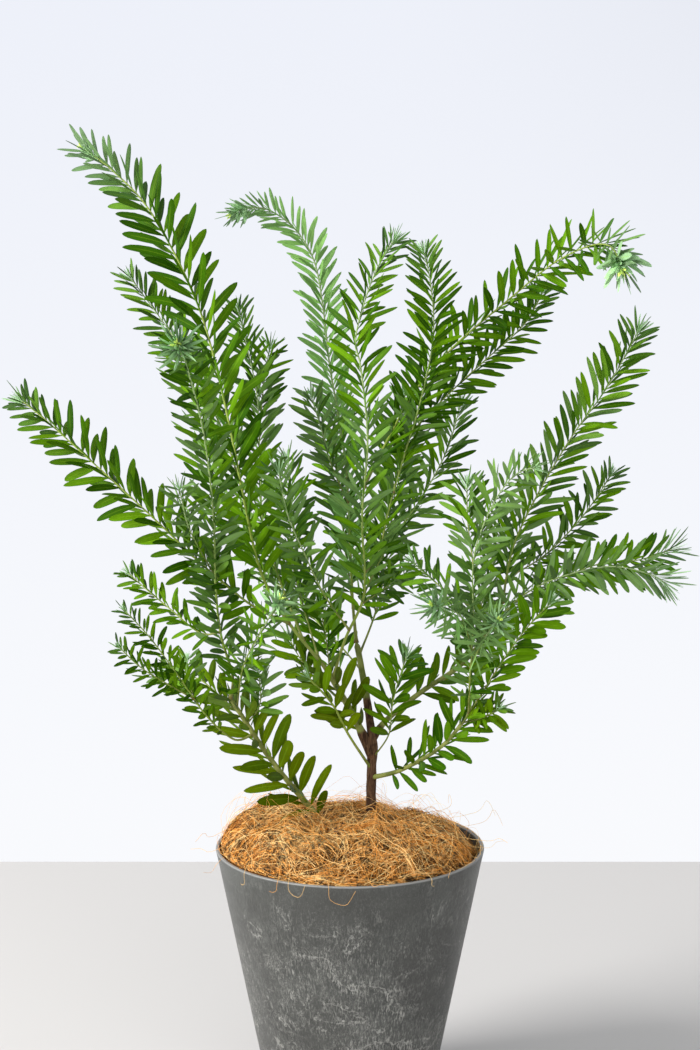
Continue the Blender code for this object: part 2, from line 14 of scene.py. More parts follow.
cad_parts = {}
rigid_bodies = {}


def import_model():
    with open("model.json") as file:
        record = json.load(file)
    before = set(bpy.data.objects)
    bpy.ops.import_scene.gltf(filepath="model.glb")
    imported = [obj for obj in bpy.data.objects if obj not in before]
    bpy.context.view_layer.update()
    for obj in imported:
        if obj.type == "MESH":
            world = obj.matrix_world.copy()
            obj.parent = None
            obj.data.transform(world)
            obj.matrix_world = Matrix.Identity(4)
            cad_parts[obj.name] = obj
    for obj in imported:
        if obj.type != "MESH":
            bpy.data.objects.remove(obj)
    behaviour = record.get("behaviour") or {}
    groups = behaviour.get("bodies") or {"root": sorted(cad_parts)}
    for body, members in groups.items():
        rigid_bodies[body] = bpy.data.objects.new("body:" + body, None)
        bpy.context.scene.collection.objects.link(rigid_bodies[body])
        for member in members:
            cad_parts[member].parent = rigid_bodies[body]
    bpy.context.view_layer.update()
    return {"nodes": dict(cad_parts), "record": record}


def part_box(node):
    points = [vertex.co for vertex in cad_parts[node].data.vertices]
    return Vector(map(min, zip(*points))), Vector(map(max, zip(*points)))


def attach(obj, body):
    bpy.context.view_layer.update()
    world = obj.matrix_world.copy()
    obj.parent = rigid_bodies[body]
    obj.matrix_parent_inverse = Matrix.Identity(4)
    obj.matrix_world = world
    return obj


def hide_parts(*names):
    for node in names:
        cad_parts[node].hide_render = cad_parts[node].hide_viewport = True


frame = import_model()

bl_info = {
    "name": "Potted Acacia",
    "version": (1, 0, 0),
    "blender": (4, 5, 0),
    "location": "3D View > Sidebar > Acacia",
    "description": "Builds the planter, the coir mulch and the leafy shoots of a potted acacia",
    "category": "Add Mesh",
}

POT_LOW, POT_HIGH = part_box("pot")
RIM_RADIUS = (POT_HIGH.x - POT_LOW.x) / 2
RIM_HEIGHT = POT_HIGH.z
BODY = "root"

# The planter's own proportions, as in the solid model
BASE_RADIUS = 0.064
WALL = 0.0032
FLOOR = 0.006
DRAIN_RADIUS = 0.006
DRAIN_CIRCLE = 0.032
DRAIN_TURNS = tuple(math.radians(101 + 120 * k) for k in range(3))
MOUTH_RADIUS = RIM_RADIUS - WALL

GOLDEN_TURN = math.radians(137.5)
# Seeds of the random draws; each layer of the mat and each stem adds its own number
SEEDS = {"mat": 40, "locks": 61, "loose": 77, "strays": 90, "chips": 12, "stems": 300}


def clamp(value, low=0.0):
    """The value held between low and one."""
    return min(1.0, max(low, value))


def turns(count):
    """Angles that share a full turn evenly."""
    return [math.tau * k / count for k in range(count)]


def on_circle(radius, turn):
    """The place on a circle at a turn."""
    return radius * math.cos(turn), radius * math.sin(turn)


# ---------------------------------------------------------------- shader maths

class Wire:
    """An output socket, on which sums are written as sums."""

    def __init__(self, nodes, socket):
        self.nodes = nodes
        self.socket = socket

    def maths(self, operation, *others):
        """A Math node on this value and the others."""
        values = dict(enumerate((self, *others)))
        return self.nodes.wire("ShaderNodeMath", 0, {"operation": operation}, values)

    def __add__(self, other):
        return self.maths("ADD", other)

    __radd__ = __add__

    def __mul__(self, other):
        return self.maths("MULTIPLY", other)

    __rmul__ = __mul__

    def __sub__(self, other):
        return self.maths("SUBTRACT", other)

    def __rsub__(self, other):
        return (self * -1.0) + other

    def __neg__(self):
        return self * -1.0

    def __abs__(self):
        return self.maths("ABSOLUTE")

    def ramp(self, low, high, to_low=0.0, to_high=1.0):
        """Smooth rise from to_low at low to to_high at high."""
        values = {"Value": self, "From Min": low, "From Max": high,
                  "To Min": to_low, "To Max": to_high}
        settings = {"interpolation_type": "SMOOTHSTEP"}
        return self.nodes.wire("ShaderNodeMapRange", 0, settings, values)


class Nodes:
    """The nodes of a material or of the room, with one way to add each."""

    def __init__(self, tree):
        self.tree = tree

    def feed(self, socket, value):
        """Link a wire to a socket, or set the socket's own value."""
        if isinstance(value, Wire):
            self.tree.links.new(value.socket, socket)
        elif socket.type == "RGBA":
            socket.default_value = (*value, 1.0)
        else:
            socket.default_value = value

    def node(self, kind, settings=None, values=None):
        """A node of the given type: its settings first, then what feeds its sockets."""
        made = self.tree.nodes.new(kind)
        for name, value in (settings or {}).items():
            setattr(made, name, value)
        for name, value in (values or {}).items():
            self.feed(made.inputs[name], value)
        return made

    def wire(self, kind, output, settings=None, values=None):
        """One output of a new node, as a wire."""
        return Wire(self, self.node(kind, settings, values).outputs[output])

    def parts(self, vector):
        """The three numbers of a vector."""
        split = self.node("ShaderNodeSeparateXYZ", None, {0: vector})
        return [Wire(self, output) for output in split.outputs]

    def mix(self, factor, first, second):
        """A colour between two, by a factor."""
        values = {0: factor, 6: first, 7: second}
        return self.wire("ShaderNodeMix", 2, {"data_type": "RGBA"}, values)

    def scaled(self, colour, factor):
        """A colour made brighter or darker by a factor."""
        values = {0: colour, "Scale": factor}
        return self.wire("ShaderNodeVectorMath", 0, {"operation": "SCALE"}, values)


class Finish(Nodes):
    """A material under construction."""

    def __init__(self, name):
        self.material = bpy.data.materials.new(name)
        self.material.use_nodes = True
        super().__init__(self.material.node_tree)
        self.shader = self.tree.nodes["Principled BSDF"]

    def place(self, stretch=(1, 1, 1)):
        """The piece's own coordinates, stretched along the axes."""
        values = {0: self.wire("ShaderNodeTexCoord", "Object"), 1: stretch}
        return self.wire("ShaderNodeVectorMath", 0, {"operation": "MULTIPLY"}, values)

    def grain(self, scale, detail=4.0, stretch=(1, 1, 1), roughness=0.5, distortion=0.0):
        """Noise between 0 and 1 over the piece."""
        values = {"Vector": self.place(stretch), "Scale": scale, "Detail": detail,
                  "Roughness": roughness, "Distortion": distortion}
        return self.wire("ShaderNodeTexNoise", 0, None, values)

    def note(self, name):
        """The three values that the mesh carries under a name."""
        return self.parts(self.wire("ShaderNodeAttribute", "Vector", {"attribute_name": name}))

    def finish(self, colour, roughness, height=None, depth=0.001, specular=0.5):
        """Set the shader: its colour, its roughness and, from a height, its bump."""
        self.feed(self.shader.inputs["Base Color"], colour)
        self.feed(self.shader.inputs["Roughness"], roughness)
        self.shader.inputs["Specular IOR Level"].default_value = specular
        if height is not None:
            values = {"Height": height, "Distance": depth}
            self.feed(self.shader.inputs["Normal"],
                      self.wire("ShaderNodeBump", "Normal", None, values))
        return self.material


# ---------------------------------------------------------------- the grown stems

Stem = namedtuple("Stem", "name parent share radii leaf bare hue route spacing",
                  defaults=(1.0,))

# Each row: piece, parent, share along the parent where it starts, radii at base and tip, blade
# length, leafless share at the base, hue (-1 olive yellow, 0 green, 1 silvery), the route, and for
# some how much wider than usual their leaves are spaced.
STEMS = (
    Stem("trunk", "", 0, (0.0049, 0.0022), 0, 1, 0,
         ((0.013, 0.005, 0.150), (0.015, 0.004, 0.180), (0.016, 0.004, 0.215),
          (0.017, 0.002, 0.270), (0.017, 0, 0.292), (0.013, 0.008, 0.320),
          (0.009, 0.018, 0.343), (0.005, 0.028, 0.361))),
    Stem("stem_low_left", "", 0, (0.0027, 0.0017), 0.034, 0.36, -0.75,
         ((0.002, 0.024, 0.165), (-0.006, 0.018, 0.195), (-0.020, 0.010, 0.219),
          (-0.040, 0, 0.246), (-0.062, -0.014, 0.279), (-0.080, -0.026, 0.311),
          (-0.091, -0.032, 0.331))),
    Stem("limb_left", "trunk", 0.58, (0.0029, 0.0022), 0.030, 0.30, -0.80,
         ((0.005, -0.005, 0.306), (-0.005, -0.008, 0.325), (-0.018, -0.012, 0.349)), 1.8),
    Stem("limb_right", "trunk", 0.64, (0.0022, 0.0016), 0.026, 0.34, -0.45,
         ((0.028, 0.005, 0.304), (0.056, 0.010, 0.326), (0.084, 0.015, 0.344),
          (0.105, 0.020, 0.367), (0.119, 0.025, 0.393)), 1.3),
    Stem("limb_low_right", "trunk", 0.50, (0.0018, 0.0013), 0.027, 0.18, -0.20,
         ((0.040, -0.018, 0.271), (0.072, -0.042, 0.298), (0.096, -0.055, 0.335))),
    Stem("shoot_arch", "trunk", 1.0, (0.0020, 0.0006), 0.024, 0.12, 1.1,
         ((0.002, 0.045, 0.392), (0, 0.058, 0.437), (-0.003, 0.061, 0.493),
          (-0.010, 0.065, 0.540), (-0.016, 0.069, 0.575), (-0.021, 0.076, 0.618),
          (-0.028, 0.083, 0.655), (-0.043, 0.086, 0.680), (-0.063, 0.080, 0.695),
          (-0.079, 0.068, 0.697), (-0.096, 0.055, 0.691)), 0.9),
    Stem("shoot_high_left", "limb_left", 1.0, (0.0021, 0.0007), 0.036, 0.20, -0.12,
         ((-0.049, -0.018, 0.390), (-0.068, -0.025, 0.429), (-0.079, -0.030, 0.480),
          (-0.089, -0.025, 0.532), (-0.104, 0, 0.592), (-0.121, 0.015, 0.640),
          (-0.152, 0.032, 0.696), (-0.182, 0.045, 0.727), (-0.210, 0.052, 0.747))),
    Stem("shoot_centre", "limb_left", 0.88, (0.0020, 0.0006), 0.027, 0.18, 0.05,
         ((-0.004, -0.018, 0.373), (0.009, -0.032, 0.405), (0.011, -0.042, 0.428),
          (0.009, -0.052, 0.476), (0.013, -0.055, 0.533), (0.008, -0.048, 0.585),
          (0.004, -0.040, 0.605), (0.012, -0.025, 0.636), (0.023, -0.012, 0.661),
          (0.037, 0, 0.682))),
    Stem("shoot_front_left", "shoot_centre", 0.12, (0.0012, 0.0005), 0.026, 0.10, 0.1,
         ((-0.019, -0.048, 0.414), (-0.035, -0.070, 0.453), (-0.046, -0.084, 0.483),
          (-0.053, -0.092, 0.522))),
    Stem("shoot_far_left", "shoot_high_left", 0.10, (0.0016, 0.0006), 0.029, 0.14, -0.18,
         ((-0.075, -0.042, 0.406), (-0.108, -0.055, 0.437), (-0.148, -0.055, 0.476),
          (-0.194, -0.042, 0.516), (-0.228, -0.028, 0.544), (-0.252, -0.020, 0.562)), 1.1),
    Stem("twig_far_left", "shoot_far_left", 0.28, (0.0008, 0.0005), 0.022, 0.10, 0.2,
         ((-0.117, -0.085, 0.470), (-0.121, -0.108, 0.496), (-0.123, -0.120, 0.511))),
    Stem("shoot_behind_high_left", "shoot_high_left", 0.34, (0.0013, 0.0005), 0.027, 0.10, 0.1,
         ((-0.098, 0.020, 0.530), (-0.124, 0.068, 0.575), (-0.150, 0.088, 0.610),
          (-0.178, 0.096, 0.647))),
    Stem("shoot_near_left", "stem_low_left", 1.0, (0.0017, 0.0006), 0.027, 0.10, 0.1,
         ((-0.089, -0.038, 0.350), (-0.097, -0.046, 0.383), (-0.100, -0.060, 0.424),
          (-0.100, -0.082, 0.482), (-0.105, -0.104, 0.543), (-0.114, -0.136, 0.594),
          (-0.118, -0.185, 0.617)), 0.84),
    Stem("shoot_left", "shoot_near_left", 0.17, (0.0011, 0.0005), 0.018, 0.10, -0.1,
         ((-0.113, -0.042, 0.384), (-0.137, -0.028, 0.400), (-0.156, -0.016, 0.413),
          (-0.175, -0.006, 0.428)), 1.35),
    Stem("shoot_low_left", "stem_low_left", 0.82, (0.0014, 0.0005), 0.0155, 0.20, -0.1,
         ((-0.088, -0.034, 0.299), (-0.107, -0.056, 0.322), (-0.125, -0.070, 0.353),
          (-0.148, -0.080, 0.389), (-0.171, -0.086, 0.416)), 1.55),
    Stem("twig_low_left", "shoot_low_left", 0.44, (0.0009, 0.0005), 0.015, 0.16, -0.1,
         ((-0.135, -0.082, 0.354), (-0.154, -0.098, 0.371), (-0.172, -0.110, 0.393)), 1.5),
    Stem("shoot_silver_left", "stem_low_left", 0.95, (0.0012, 0.0005), 0.024, 0.12, 0.0,
         ((-0.080, -0.062, 0.362), (-0.067, -0.095, 0.393), (-0.056, -0.120, 0.416),
          (-0.048, -0.140, 0.432))),
    Stem("twig_left_upright", "stem_low_left", 0.87, (0.0008, 0.0005), 0.024, 0.15, 0.3,
         ((-0.068, -0.040, 0.330), (-0.070, -0.052, 0.365))),
    Stem("twig_left_tiny", "shoot_low_left", 0.42, (0.0007, 0.0005), 0.018, 0.15, 0.1,
         ((-0.123, -0.050, 0.353), (-0.122, -0.040, 0.370)), 1.6),
    Stem("twig_left_behind", "stem_low_left", 0.91, (0.0009, 0.0005), 0.024, 0.15, -0.3,
         ((-0.113, -0.008, 0.338), (-0.128, 0.005, 0.339), (-0.150, 0.018, 0.340)), 1.3),
    Stem("shoot_left_centre", "shoot_high_left", 0.06, (0.0015, 0.0005), 0.025, 0.10, 0.1,
         ((-0.065, 0.025, 0.443), (-0.070, 0.042, 0.496), (-0.072, 0.048, 0.550),
          (-0.080, 0.054, 0.590), (-0.089, 0.060, 0.627))),
    Stem("twig_left_centre", "shoot_left_centre", 0.60, (0.0008, 0.0005), 0.023, 0.10, 0.1,
         ((-0.067, 0.066, 0.567), (-0.061, 0.080, 0.595))),
    Stem("twig_arch", "shoot_arch", 0.28, (0.0010, 0.0005), 0.024, 0.10, 0.2,
         ((-0.014, 0.042, 0.498), (-0.022, 0.035, 0.528), (-0.032, 0.032, 0.561))),
    Stem("shoot_right_centre", "shoot_centre", 0.27, (0.0015, 0.0005), 0.027, 0.10, 0.0,
         ((0.021, -0.022, 0.439), (0.030, -0.002, 0.473), (0.041, 0.008, 0.510),
          (0.054, 0.007, 0.555), (0.063, 0, 0.605), (0.060, -0.007, 0.647),
          (0.053, -0.010, 0.675)), 0.85),
    Stem("shoot_high_right", "shoot_centre", 0.45, (0.0016, 0.0006), 0.029, 0.08, -0.12,
         ((0.026, -0.012, 0.522), (0.052, 0.032, 0.561), (0.083, 0.040, 0.595),
          (0.122, 0.020, 0.631), (0.151, -0.012, 0.659), (0.175, -0.052, 0.675),
          (0.187, -0.090, 0.676), (0.192, -0.122, 0.661)), 1.1),
    Stem("shoot_second_right", "shoot_right_centre", 0.28, (0.0012, 0.0005), 0.025, 0.10, -0.12,
         ((0.045, 0.024, 0.522), (0.070, 0.034, 0.550), (0.103, 0.042, 0.580),
          (0.135, 0.042, 0.610), (0.151, 0.038, 0.641))),
    Stem("shoot_third_right", "shoot_centre", 0.22, (0.0012, 0.0005), 0.026, 0.15, 0.0,
         ((0.031, 0.020, 0.442), (0.055, 0.048, 0.471), (0.075, 0.062, 0.505),
          (0.084, 0.068, 0.532), (0.089, 0.072, 0.550))),
    Stem("twig_centre", "shoot_centre", 0.19, (0.0008, 0.0005), 0.022, 0.15, 0.1,
         ((0.027, -0.018, 0.414), (0.049, 0.012, 0.424))),
    Stem("shoot_far_right", "limb_right", 1.0, (0.0015, 0.0005), 0.03, 0.06, 0.0,
         ((0.127, 0.030, 0.436), (0.146, 0.036, 0.477), (0.173, 0.040, 0.523),
          (0.199, 0.038, 0.561), (0.225, 0.030, 0.612)), 0.85),
    Stem("shoot_back_right", "shoot_far_right", 0.08, (0.0011, 0.0005), 0.024, 0.12, -0.05,
         ((0.154, 0.058, 0.425), (0.186, 0.076, 0.454), (0.212, 0.082, 0.492))),
    Stem("shoot_out_right", "limb_right", 0.86, (0.0013, 0.0005), 0.025, 0.08, 0.25,
         ((0.132, -0.010, 0.406), (0.158, -0.038, 0.426), (0.193, -0.058, 0.438),
          (0.223, -0.064, 0.433), (0.239, -0.066, 0.423))),
    Stem("shoot_out_right_back", "shoot_out_right", 0.22, (0.0009, 0.0005), 0.024, 0.12, -0.1,
         ((0.185, 0.005, 0.426), (0.225, 0.018, 0.429), (0.256, 0.022, 0.439))),
    Stem("shoot_low_right", "limb_low_right", 1.0, (0.0011, 0.0005), 0.025, 0.06, -0.2,
         ((0.114, -0.060, 0.366), (0.132, -0.064, 0.393), (0.154, -0.068, 0.418))),
    Stem("shoot_near_right", "limb_low_right", 0.90, (0.0013, 0.0005), 0.025, 0.06, 0.2,
         ((0.089, -0.074, 0.355), (0.090, -0.100, 0.403), (0.089, -0.115, 0.454),
          (0.100, -0.122, 0.491), (0.116, -0.140, 0.519), (0.133, -0.165, 0.529))),
    Stem("twig_near_right", "shoot_near_right", 0.56, (0.0008, 0.0005), 0.023, 0.12, 0.0,
         ((0.085, -0.103, 0.481), (0.085, -0.090, 0.512))),
    Stem("shoot_near_front", "shoot_near_right", 0.26, (0.0010, 0.0005), 0.024, 0.15, 0.5,
         ((0.079, -0.132, 0.416), (0.055, -0.185, 0.436))),
    Stem("shoot_silver_right", "shoot_near_right", 0.20, (0.0010, 0.0005), 0.024, 0.15, 0.5,
         ((0.096, -0.125, 0.397), (0.105, -0.175, 0.424))),
    Stem("twig_inward_right", "shoot_near_right", 0.42, (0.0008, 0.0005), 0.022, 0.15, 0.0,
         ((0.066, -0.088, 0.429), (0.041, -0.072, 0.449))),
    Stem("twig_trunk_right", "trunk", 0.57, (0.0010, 0.0005), 0.026, 0.30, -0.1,
         ((0.030, -0.014, 0.298), (0.033, -0.026, 0.328), (0.045, -0.034, 0.371)), 1.2),
    Stem("twig_low_right", "limb_low_right", 0.82, (0.0007, 0.0005), 0.018, 0.15, -0.2,
         ((0.101, -0.066, 0.325), (0.116, -0.078, 0.338))),
    Stem("twig_trunk_left", "trunk", 0.53, (0.0018, 0.0009), 0.024, 0.45, -0.4,
         ((-0.001, -0.020, 0.299), (-0.014, -0.032, 0.327), (-0.036, -0.042, 0.354)), 1.7),
    Stem("twig_fork", "limb_left", 0.94, (0.0008, 0.0005), 0.022, 0.10, -0.2,
         ((-0.018, 0.006, 0.365), (-0.025, 0.022, 0.399)), 1.4),
    Stem("twig_pale", "limb_left", 0.72, (0.0008, 0.0005), 0.022, 0.25, -0.4,
         ((-0.035, 0.018, 0.345), (-0.051, 0.038, 0.369)), 1.5),
    Stem("shoot_rear_centre", "shoot_arch", 0.07, (0.0013, 0.0005), 0.026, 0.10, 0.0,
         ((-0.003, 0.090, 0.419), (-0.010, 0.125, 0.475), (-0.013, 0.150, 0.542))),
    Stem("shoot_rear_right", "trunk", 0.95, (0.0014, 0.0005), 0.026, 0.15, 0.0,
         ((0.024, 0.070, 0.390), (0.036, 0.125, 0.458), (0.044, 0.160, 0.549))),
    Stem("shoot_rear_left", "shoot_high_left", 0.02, (0.0012, 0.0005), 0.026, 0.15, 0.0,
         ((-0.046, 0.045, 0.424), (-0.047, 0.085, 0.465), (-0.052, 0.112, 0.501))),
    Stem("shoot_rear_low_right", "limb_right", 0.68, (0.0011, 0.0005), 0.025, 0.12, 0.0,
         ((0.106, 0.072, 0.386), (0.120, 0.112, 0.423), (0.126, 0.135, 0.453))),
    Stem("shoot_rear_far_left", "shoot_high_left", 0.14, (0.0011, 0.0005), 0.025, 0.15, 0.0,
         ((-0.079, 0.045, 0.432), (-0.098, 0.090, 0.460), (-0.112, 0.118, 0.491))),
    Stem("shoot_rear_low", "trunk", 0.89, (0.0012, 0.0005), 0.026, 0.15, -0.1,
         ((-0.012, 0.065, 0.355), (-0.041, 0.110, 0.374), (-0.068, 0.145, 0.392)), 2.0),
)
WOODY = ("trunk", "limb_left", "limb_right", "limb_low_right", "stem_low_left")
SPLINE_STEPS = 24
STEM_STEP = 0.003
# Steps that a leafy shoot gives up at its end, and the length under which it gives up none
TIP_BACK = 2
TRIM_FROM = 0.03
# How far a route may leave its solid's box
BOX_MARGIN = 0.002


def spline(points):
    """Fine points on a smooth curve that goes through the given ones."""
    fine = []
    last = len(points) - 1
    for i in range(last):
        before, start, end = points[max(i - 1, 0)], points[i], points[i + 1]
        after = points[min(i + 2, last)]
        for step in range(SPLINE_STEPS):
            t = step / SPLINE_STEPS
            fine.append(0.5 * (2 * start + (end - before) * t
                               + (2 * before - 5 * start + 4 * end - after) * t ** 2
                               + (3 * start - before - 3 * end + after) * t ** 3))
    fine.append(points[last])
    return fine


def evenly(fine, pitch):
    """Points about one pitch apart along a fine curve, both ends kept."""
    lengths = [0.0]
    for a, b in zip(fine, fine[1:]):
        lengths.append(lengths[-1] + (b - a).length)
    count = max(2, round(lengths[-1] / pitch))
    even = []
    at = 0
    for i in range(count + 1):
        wanted = lengths[-1] * i / count
        while at < len(fine) - 2 and lengths[at + 1] < wanted:
            at += 1
        share = (wanted - lengths[at]) / max(lengths[at + 1] - lengths[at], 1e-9)
        even.append(fine[at].lerp(fine[at + 1], clamp(share)))
    return even


def line_frame(points):
    """The direction at each point of a line, and a side direction that doesn't spin round it."""
    last = len(points) - 1
    tangents = [(points[min(i + 1, last)] - points[max(i - 1, 0)]).normalized()
                for i in range(last + 1)]
    side = tangents[0].orthogonal().normalized()
    sides = []
    for tangent in tangents:
        side = (side - tangent * side.dot(tangent)).normalized()
        sides.append(side)
    return tangents, sides


class Route:
    """A stem's centre line, with its length, thickness and turning frame."""

    def __init__(self, stem, points):
        self.stem = stem
        self.points = evenly(spline(points), STEM_STEP)
        self.last = len(self.points) - 1
        self.length = sum((b - a).length for a, b in zip(self.points, self.points[1:]))
        self.tangents, self.sides = line_frame(self.points)

    def trim(self):
        """Shorten a leafy shoot a little, for its end leaves reach past the stem."""
        if self.stem.name in WOODY or self.length < TRIM_FROM:
            return
        self.last -= TIP_BACK
        for row in (self.points, self.tangents, self.sides):
            del row[self.last + 1:]
        self.length -= TIP_BACK * STEM_STEP

    def radius(self, share):
        """The stem's radius at a share of its length."""
        base, tip = self.stem.radii
        if self.stem.name in WOODY:
            return base + (tip - base) * share
        return 0.85 * (base + (tip - base) * share ** 0.32)

    def at(self, share):
        """The point, direction and side direction at a share of the length."""
        place = clamp(share) * self.last
        i = min(int(place), self.last - 1)
        part = place - i
        point = self.points[i].lerp(self.points[i + 1], part)
        tangent = self.tangents[i].lerp(self.tangents[i + 1], part).normalized()
        side = self.sides[i].lerp(self.sides[i + 1], part).normalized()
        return point, tangent, (side - tangent * side.dot(tangent)).normalized()


def trace_routes():
    """Every stem's route, each starting on its parent and lying in its solid's box."""
    routes = {}
    for stem in STEMS:
        points = [Vector(point) for point in stem.route]
        low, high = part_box(stem.name)
        for point in points:
            if any(point[k] < low[k] - BOX_MARGIN or point[k] > high[k] + BOX_MARGIN
                   for k in range(3)):
                raise RuntimeError(f"{stem.name}: its route leaves its solid's box at {point}")
        if stem.parent:
            points.insert(0, routes[stem.parent].at(stem.share)[0])
        routes[stem.name] = Route(stem, points)
    for route in routes.values():
        route.trim()
    return routes


# ---------------------------------------------------------------- meshes

# Edges with a greater turn than this stay sharp: on gathered meshes, and on turned ones
SHELL_SHARP = math.radians(55)
TURNED_SHARP = math.radians(40)


def placed(name, mesh, sharp):
    """A mesh as an object of the scene, shaded smooth."""
    mesh.shade_smooth()
    mesh.set_sharp_from_angle(angle=sharp)
    item = bpy.data.objects.new(name, mesh)
    bpy.context.scene.collection.objects.link(item)
    return item


class Shell:
    """Corners, faces and notes of a mesh that is gathered bit by bit."""

    def __init__(self, *names):
        self.corners = []
        self.faces = []
        self.slots = []
        self.notes = {name: [] for name in names}

    def add(self, corners, faces, slot=0, **notes):
        """Add a closed form. A note is one triple for all its corners, or one for each."""
        start = len(self.corners)
        self.corners += corners
        self.faces += [tuple(start + n for n in face) for face in faces]
        self.slots += [slot] * len(faces)
        for name, values in self.notes.items():
            given = notes.get(name, (0.0, 0.0, 0.0))
            values += given if isinstance(given, list) else [given] * len(corners)

    def make(self, name, *materials):
        """The finished object with its materials."""
        mesh = bpy.data.meshes.new(name)
        mesh.from_pydata(self.corners, [], self.faces)
        mesh.update()
        for material in materials:
            mesh.materials.append(material)
        mesh.polygons.foreach_set("material_index", self.slots)
        for note, values in self.notes.items():
            layer = mesh.attributes.new(note, "FLOAT_VECTOR", "POINT")
            layer.data.foreach_set("vector", [number for triple in values for number in triple])
        return placed(name, mesh, SHELL_SHARP)


def tube_faces(rings, sides):
    """Outward faces of a closed tube of the given number of rings."""
    faces = [tuple(reversed(range(sides)))]
    for i in range(rings - 1):
        low, high = i * sides, (i + 1) * sides
        for k in range(sides):
            n = (k + 1) % sides
            faces.append((low + k, low + n, high + n, high + k))
    top = (rings - 1) * sides
    faces.append(tuple(range(top, top + sides)))
    return faces


def skin(bm, rows, downwards=False):
    """Join rows of corners with outward faces. The rows go up, or else downwards, and a first or
    last row of one corner closes that end."""
    sides = max(len(row) for row in rows)
    for low, high in zip(rows, rows[1:]):
        for k in range(sides):
            n = (k + 1) % sides
            if len(low) == 1:
                face = (low[0], high[n], high[k])
            elif len(high) == 1:
                face = (low[k], low[n], high[0])
            else:
                face = (low[k], low[n], high[n], high[k])
            bm.faces.new((face[0], *reversed(face[1:])) if downwards else face)


def turned(profile, sides):
    """A bmesh turned from a profile that starts and ends on the axis."""
    bm = bmesh.new()
    rows = []
    for radius, height in profile:
        ring = turns(sides) if radius else (0.0,)
        rows.append([bm.verts.new((*on_circle(radius, turn), height)) for turn in ring])
    skin(bm, rows)
    return bm


def linked(name, bm, material):
    """A finished bmesh as a smooth object with its material."""
    mesh = bpy.data.meshes.new(name)
    bm.to_mesh(mesh)
    bm.free()
    mesh.materials.append(material)
    return placed(name, mesh, TURNED_SHARP)


# ---------------------------------------------------------------- leaves

# Half width and half thickness of a blade, as shares of its greatest, along its length
BLADE_STATIONS = ((0.0, 0.20, 0.9), (0.06, 0.24, 0.9), (0.18, 0.60, 0.8), (0.34, 0.90, 0.8),
                  (0.53, 1.00, 0.8), (0.72, 0.96, 0.7), (0.86, 0.80, 0.6), (0.955, 0.48, 0.5),
                  (1.0, 0.09, 0.3))
# Across a blade: place from edge to edge, and height over the middle plane
BLADE_SECTION = ((-1.0, 0.0), (0.0, 1.0), (1.0, 0.0), (0.0, -1.0))
BLADE_FOLD = 0.32
BLADE_FACES = tube_faces(len(BLADE_STATIONS), len(BLADE_SECTION))
BLADE_THICKNESS = 0.00042
# The thin strip along a blade that stands for it in the search for free air
STRIP_STATIONS = ((0.12, 0.4), (0.55, 1.0), (1.0, 0.5))
STRIP_FACES = ((0, 1, 3, 2), (2, 3, 5, 4))

Leaf = namedtuple("Leaf", "root tangent outward length width angle bend twist taper")

# Heights above which hardly any leaf has a bloom with its painted sheen, and below which leaves are
# broader, and olive
BLOOM_AND_SHEEN_TOP = 0.60
BROAD_TOP = 0.48
OLIVE_TOP = 0.36


def blade_walk(leaf, stations):
    """Each station of a leaf blade that stands edge-on to its stem: its place along the blade, its
    other numbers, its point, and the directions across the blade and out of its face."""
    across = leaf.tangent.cross(leaf.outward).normalized()
    point = leaf.root
    before = 0.0
    for along, *sizes in stations:
        angle = leaf.angle + leaf.bend * along
        heading = math.cos(angle) * leaf.tangent + math.sin(angle) * leaf.outward
        edge = math.sin(angle) * leaf.tangent - math.cos(angle) * leaf.outward
        point = point + heading * (leaf.length * (along - before))
        before = along
        turn = Matrix.Rotation(leaf.twist * along, 3, heading)
        yield along, sizes, point, turn @ edge, turn @ across


def blade(leaf):
    """Corners of a leaf blade and its place notes: where each corner is across and along the
    blade, and how far out on the left the leaf stands, where leaves get painted shade."""
    corners, notes = [], []
    painted_left_shade = clamp((-leaf.root.x - 0.06) / 0.10)
    for along, (wide, thick), point, out, up in blade_walk(leaf, BLADE_STATIONS):
        half = leaf.width / 2 * wide * (1 - leaf.taper * along)
        for place, height in BLADE_SECTION:
            lift = height * thick * BLADE_THICKNESS / 2 + BLADE_FOLD * half * abs(place)
            corners.append(point + out * (half * place) + up * lift)
            notes.append((place, along, painted_left_shade))
    return corners, notes


def blade_strip(leaf):
    """Corners of the thin strip along a blade."""
    corners = []
    for _, (wide,), point, out, _ in blade_walk(leaf, STRIP_STATIONS):
        half = out * (leaf.width / 2 * wide)
        corners += [point - half, point + half]
    return corners


class Air:
    """What has been placed so far, so that each new blade finds free air."""

    def __init__(self):
        self.fixed = []
        self.corners = []
        self.faces = []
        self.done = []

    def take(self, corners):
        """Keep a blade's strip for the shoot in hand."""
        start = len(self.corners)
        self.corners += corners
        self.faces += [tuple(start + n for n in face) for face in STRIP_FACES]

    def close_shoot(self):
        """Turn the shoot in hand into a search tree."""
        if self.faces:
            self.done.append(BVHTree.FromPolygons(self.corners, self.faces))
        self.corners, self.faces = [], []

    def is_free(self, strip, near):
        """True where a strip meets no stem, no finished shoot and no near leaf of its own."""
        return not any(tree.overlap(strip) for tree in (*self.fixed, *self.done, *near))


# How far the trunk's bark reaches up a limb, and the height on the trunk where it gives way
BARK_REACH = {"limb_left": 0.021, "limb_right": 0.010}
BARK_TOP = 0.317
# Where the trunk is thicker, round the forks: height and swelling, and how far each reaches
KNOTS = ((0.262, 0.08), (0.276, 0.16), (0.286, 0.26), (0.297, 0.12), (0.318, 0.10))
KNOT_REACH = 0.006
COLLAR_REACH = 0.005
# Roundness of woody and of green stems
WOODY_SIDES = 20
GREEN_SIDES = 10


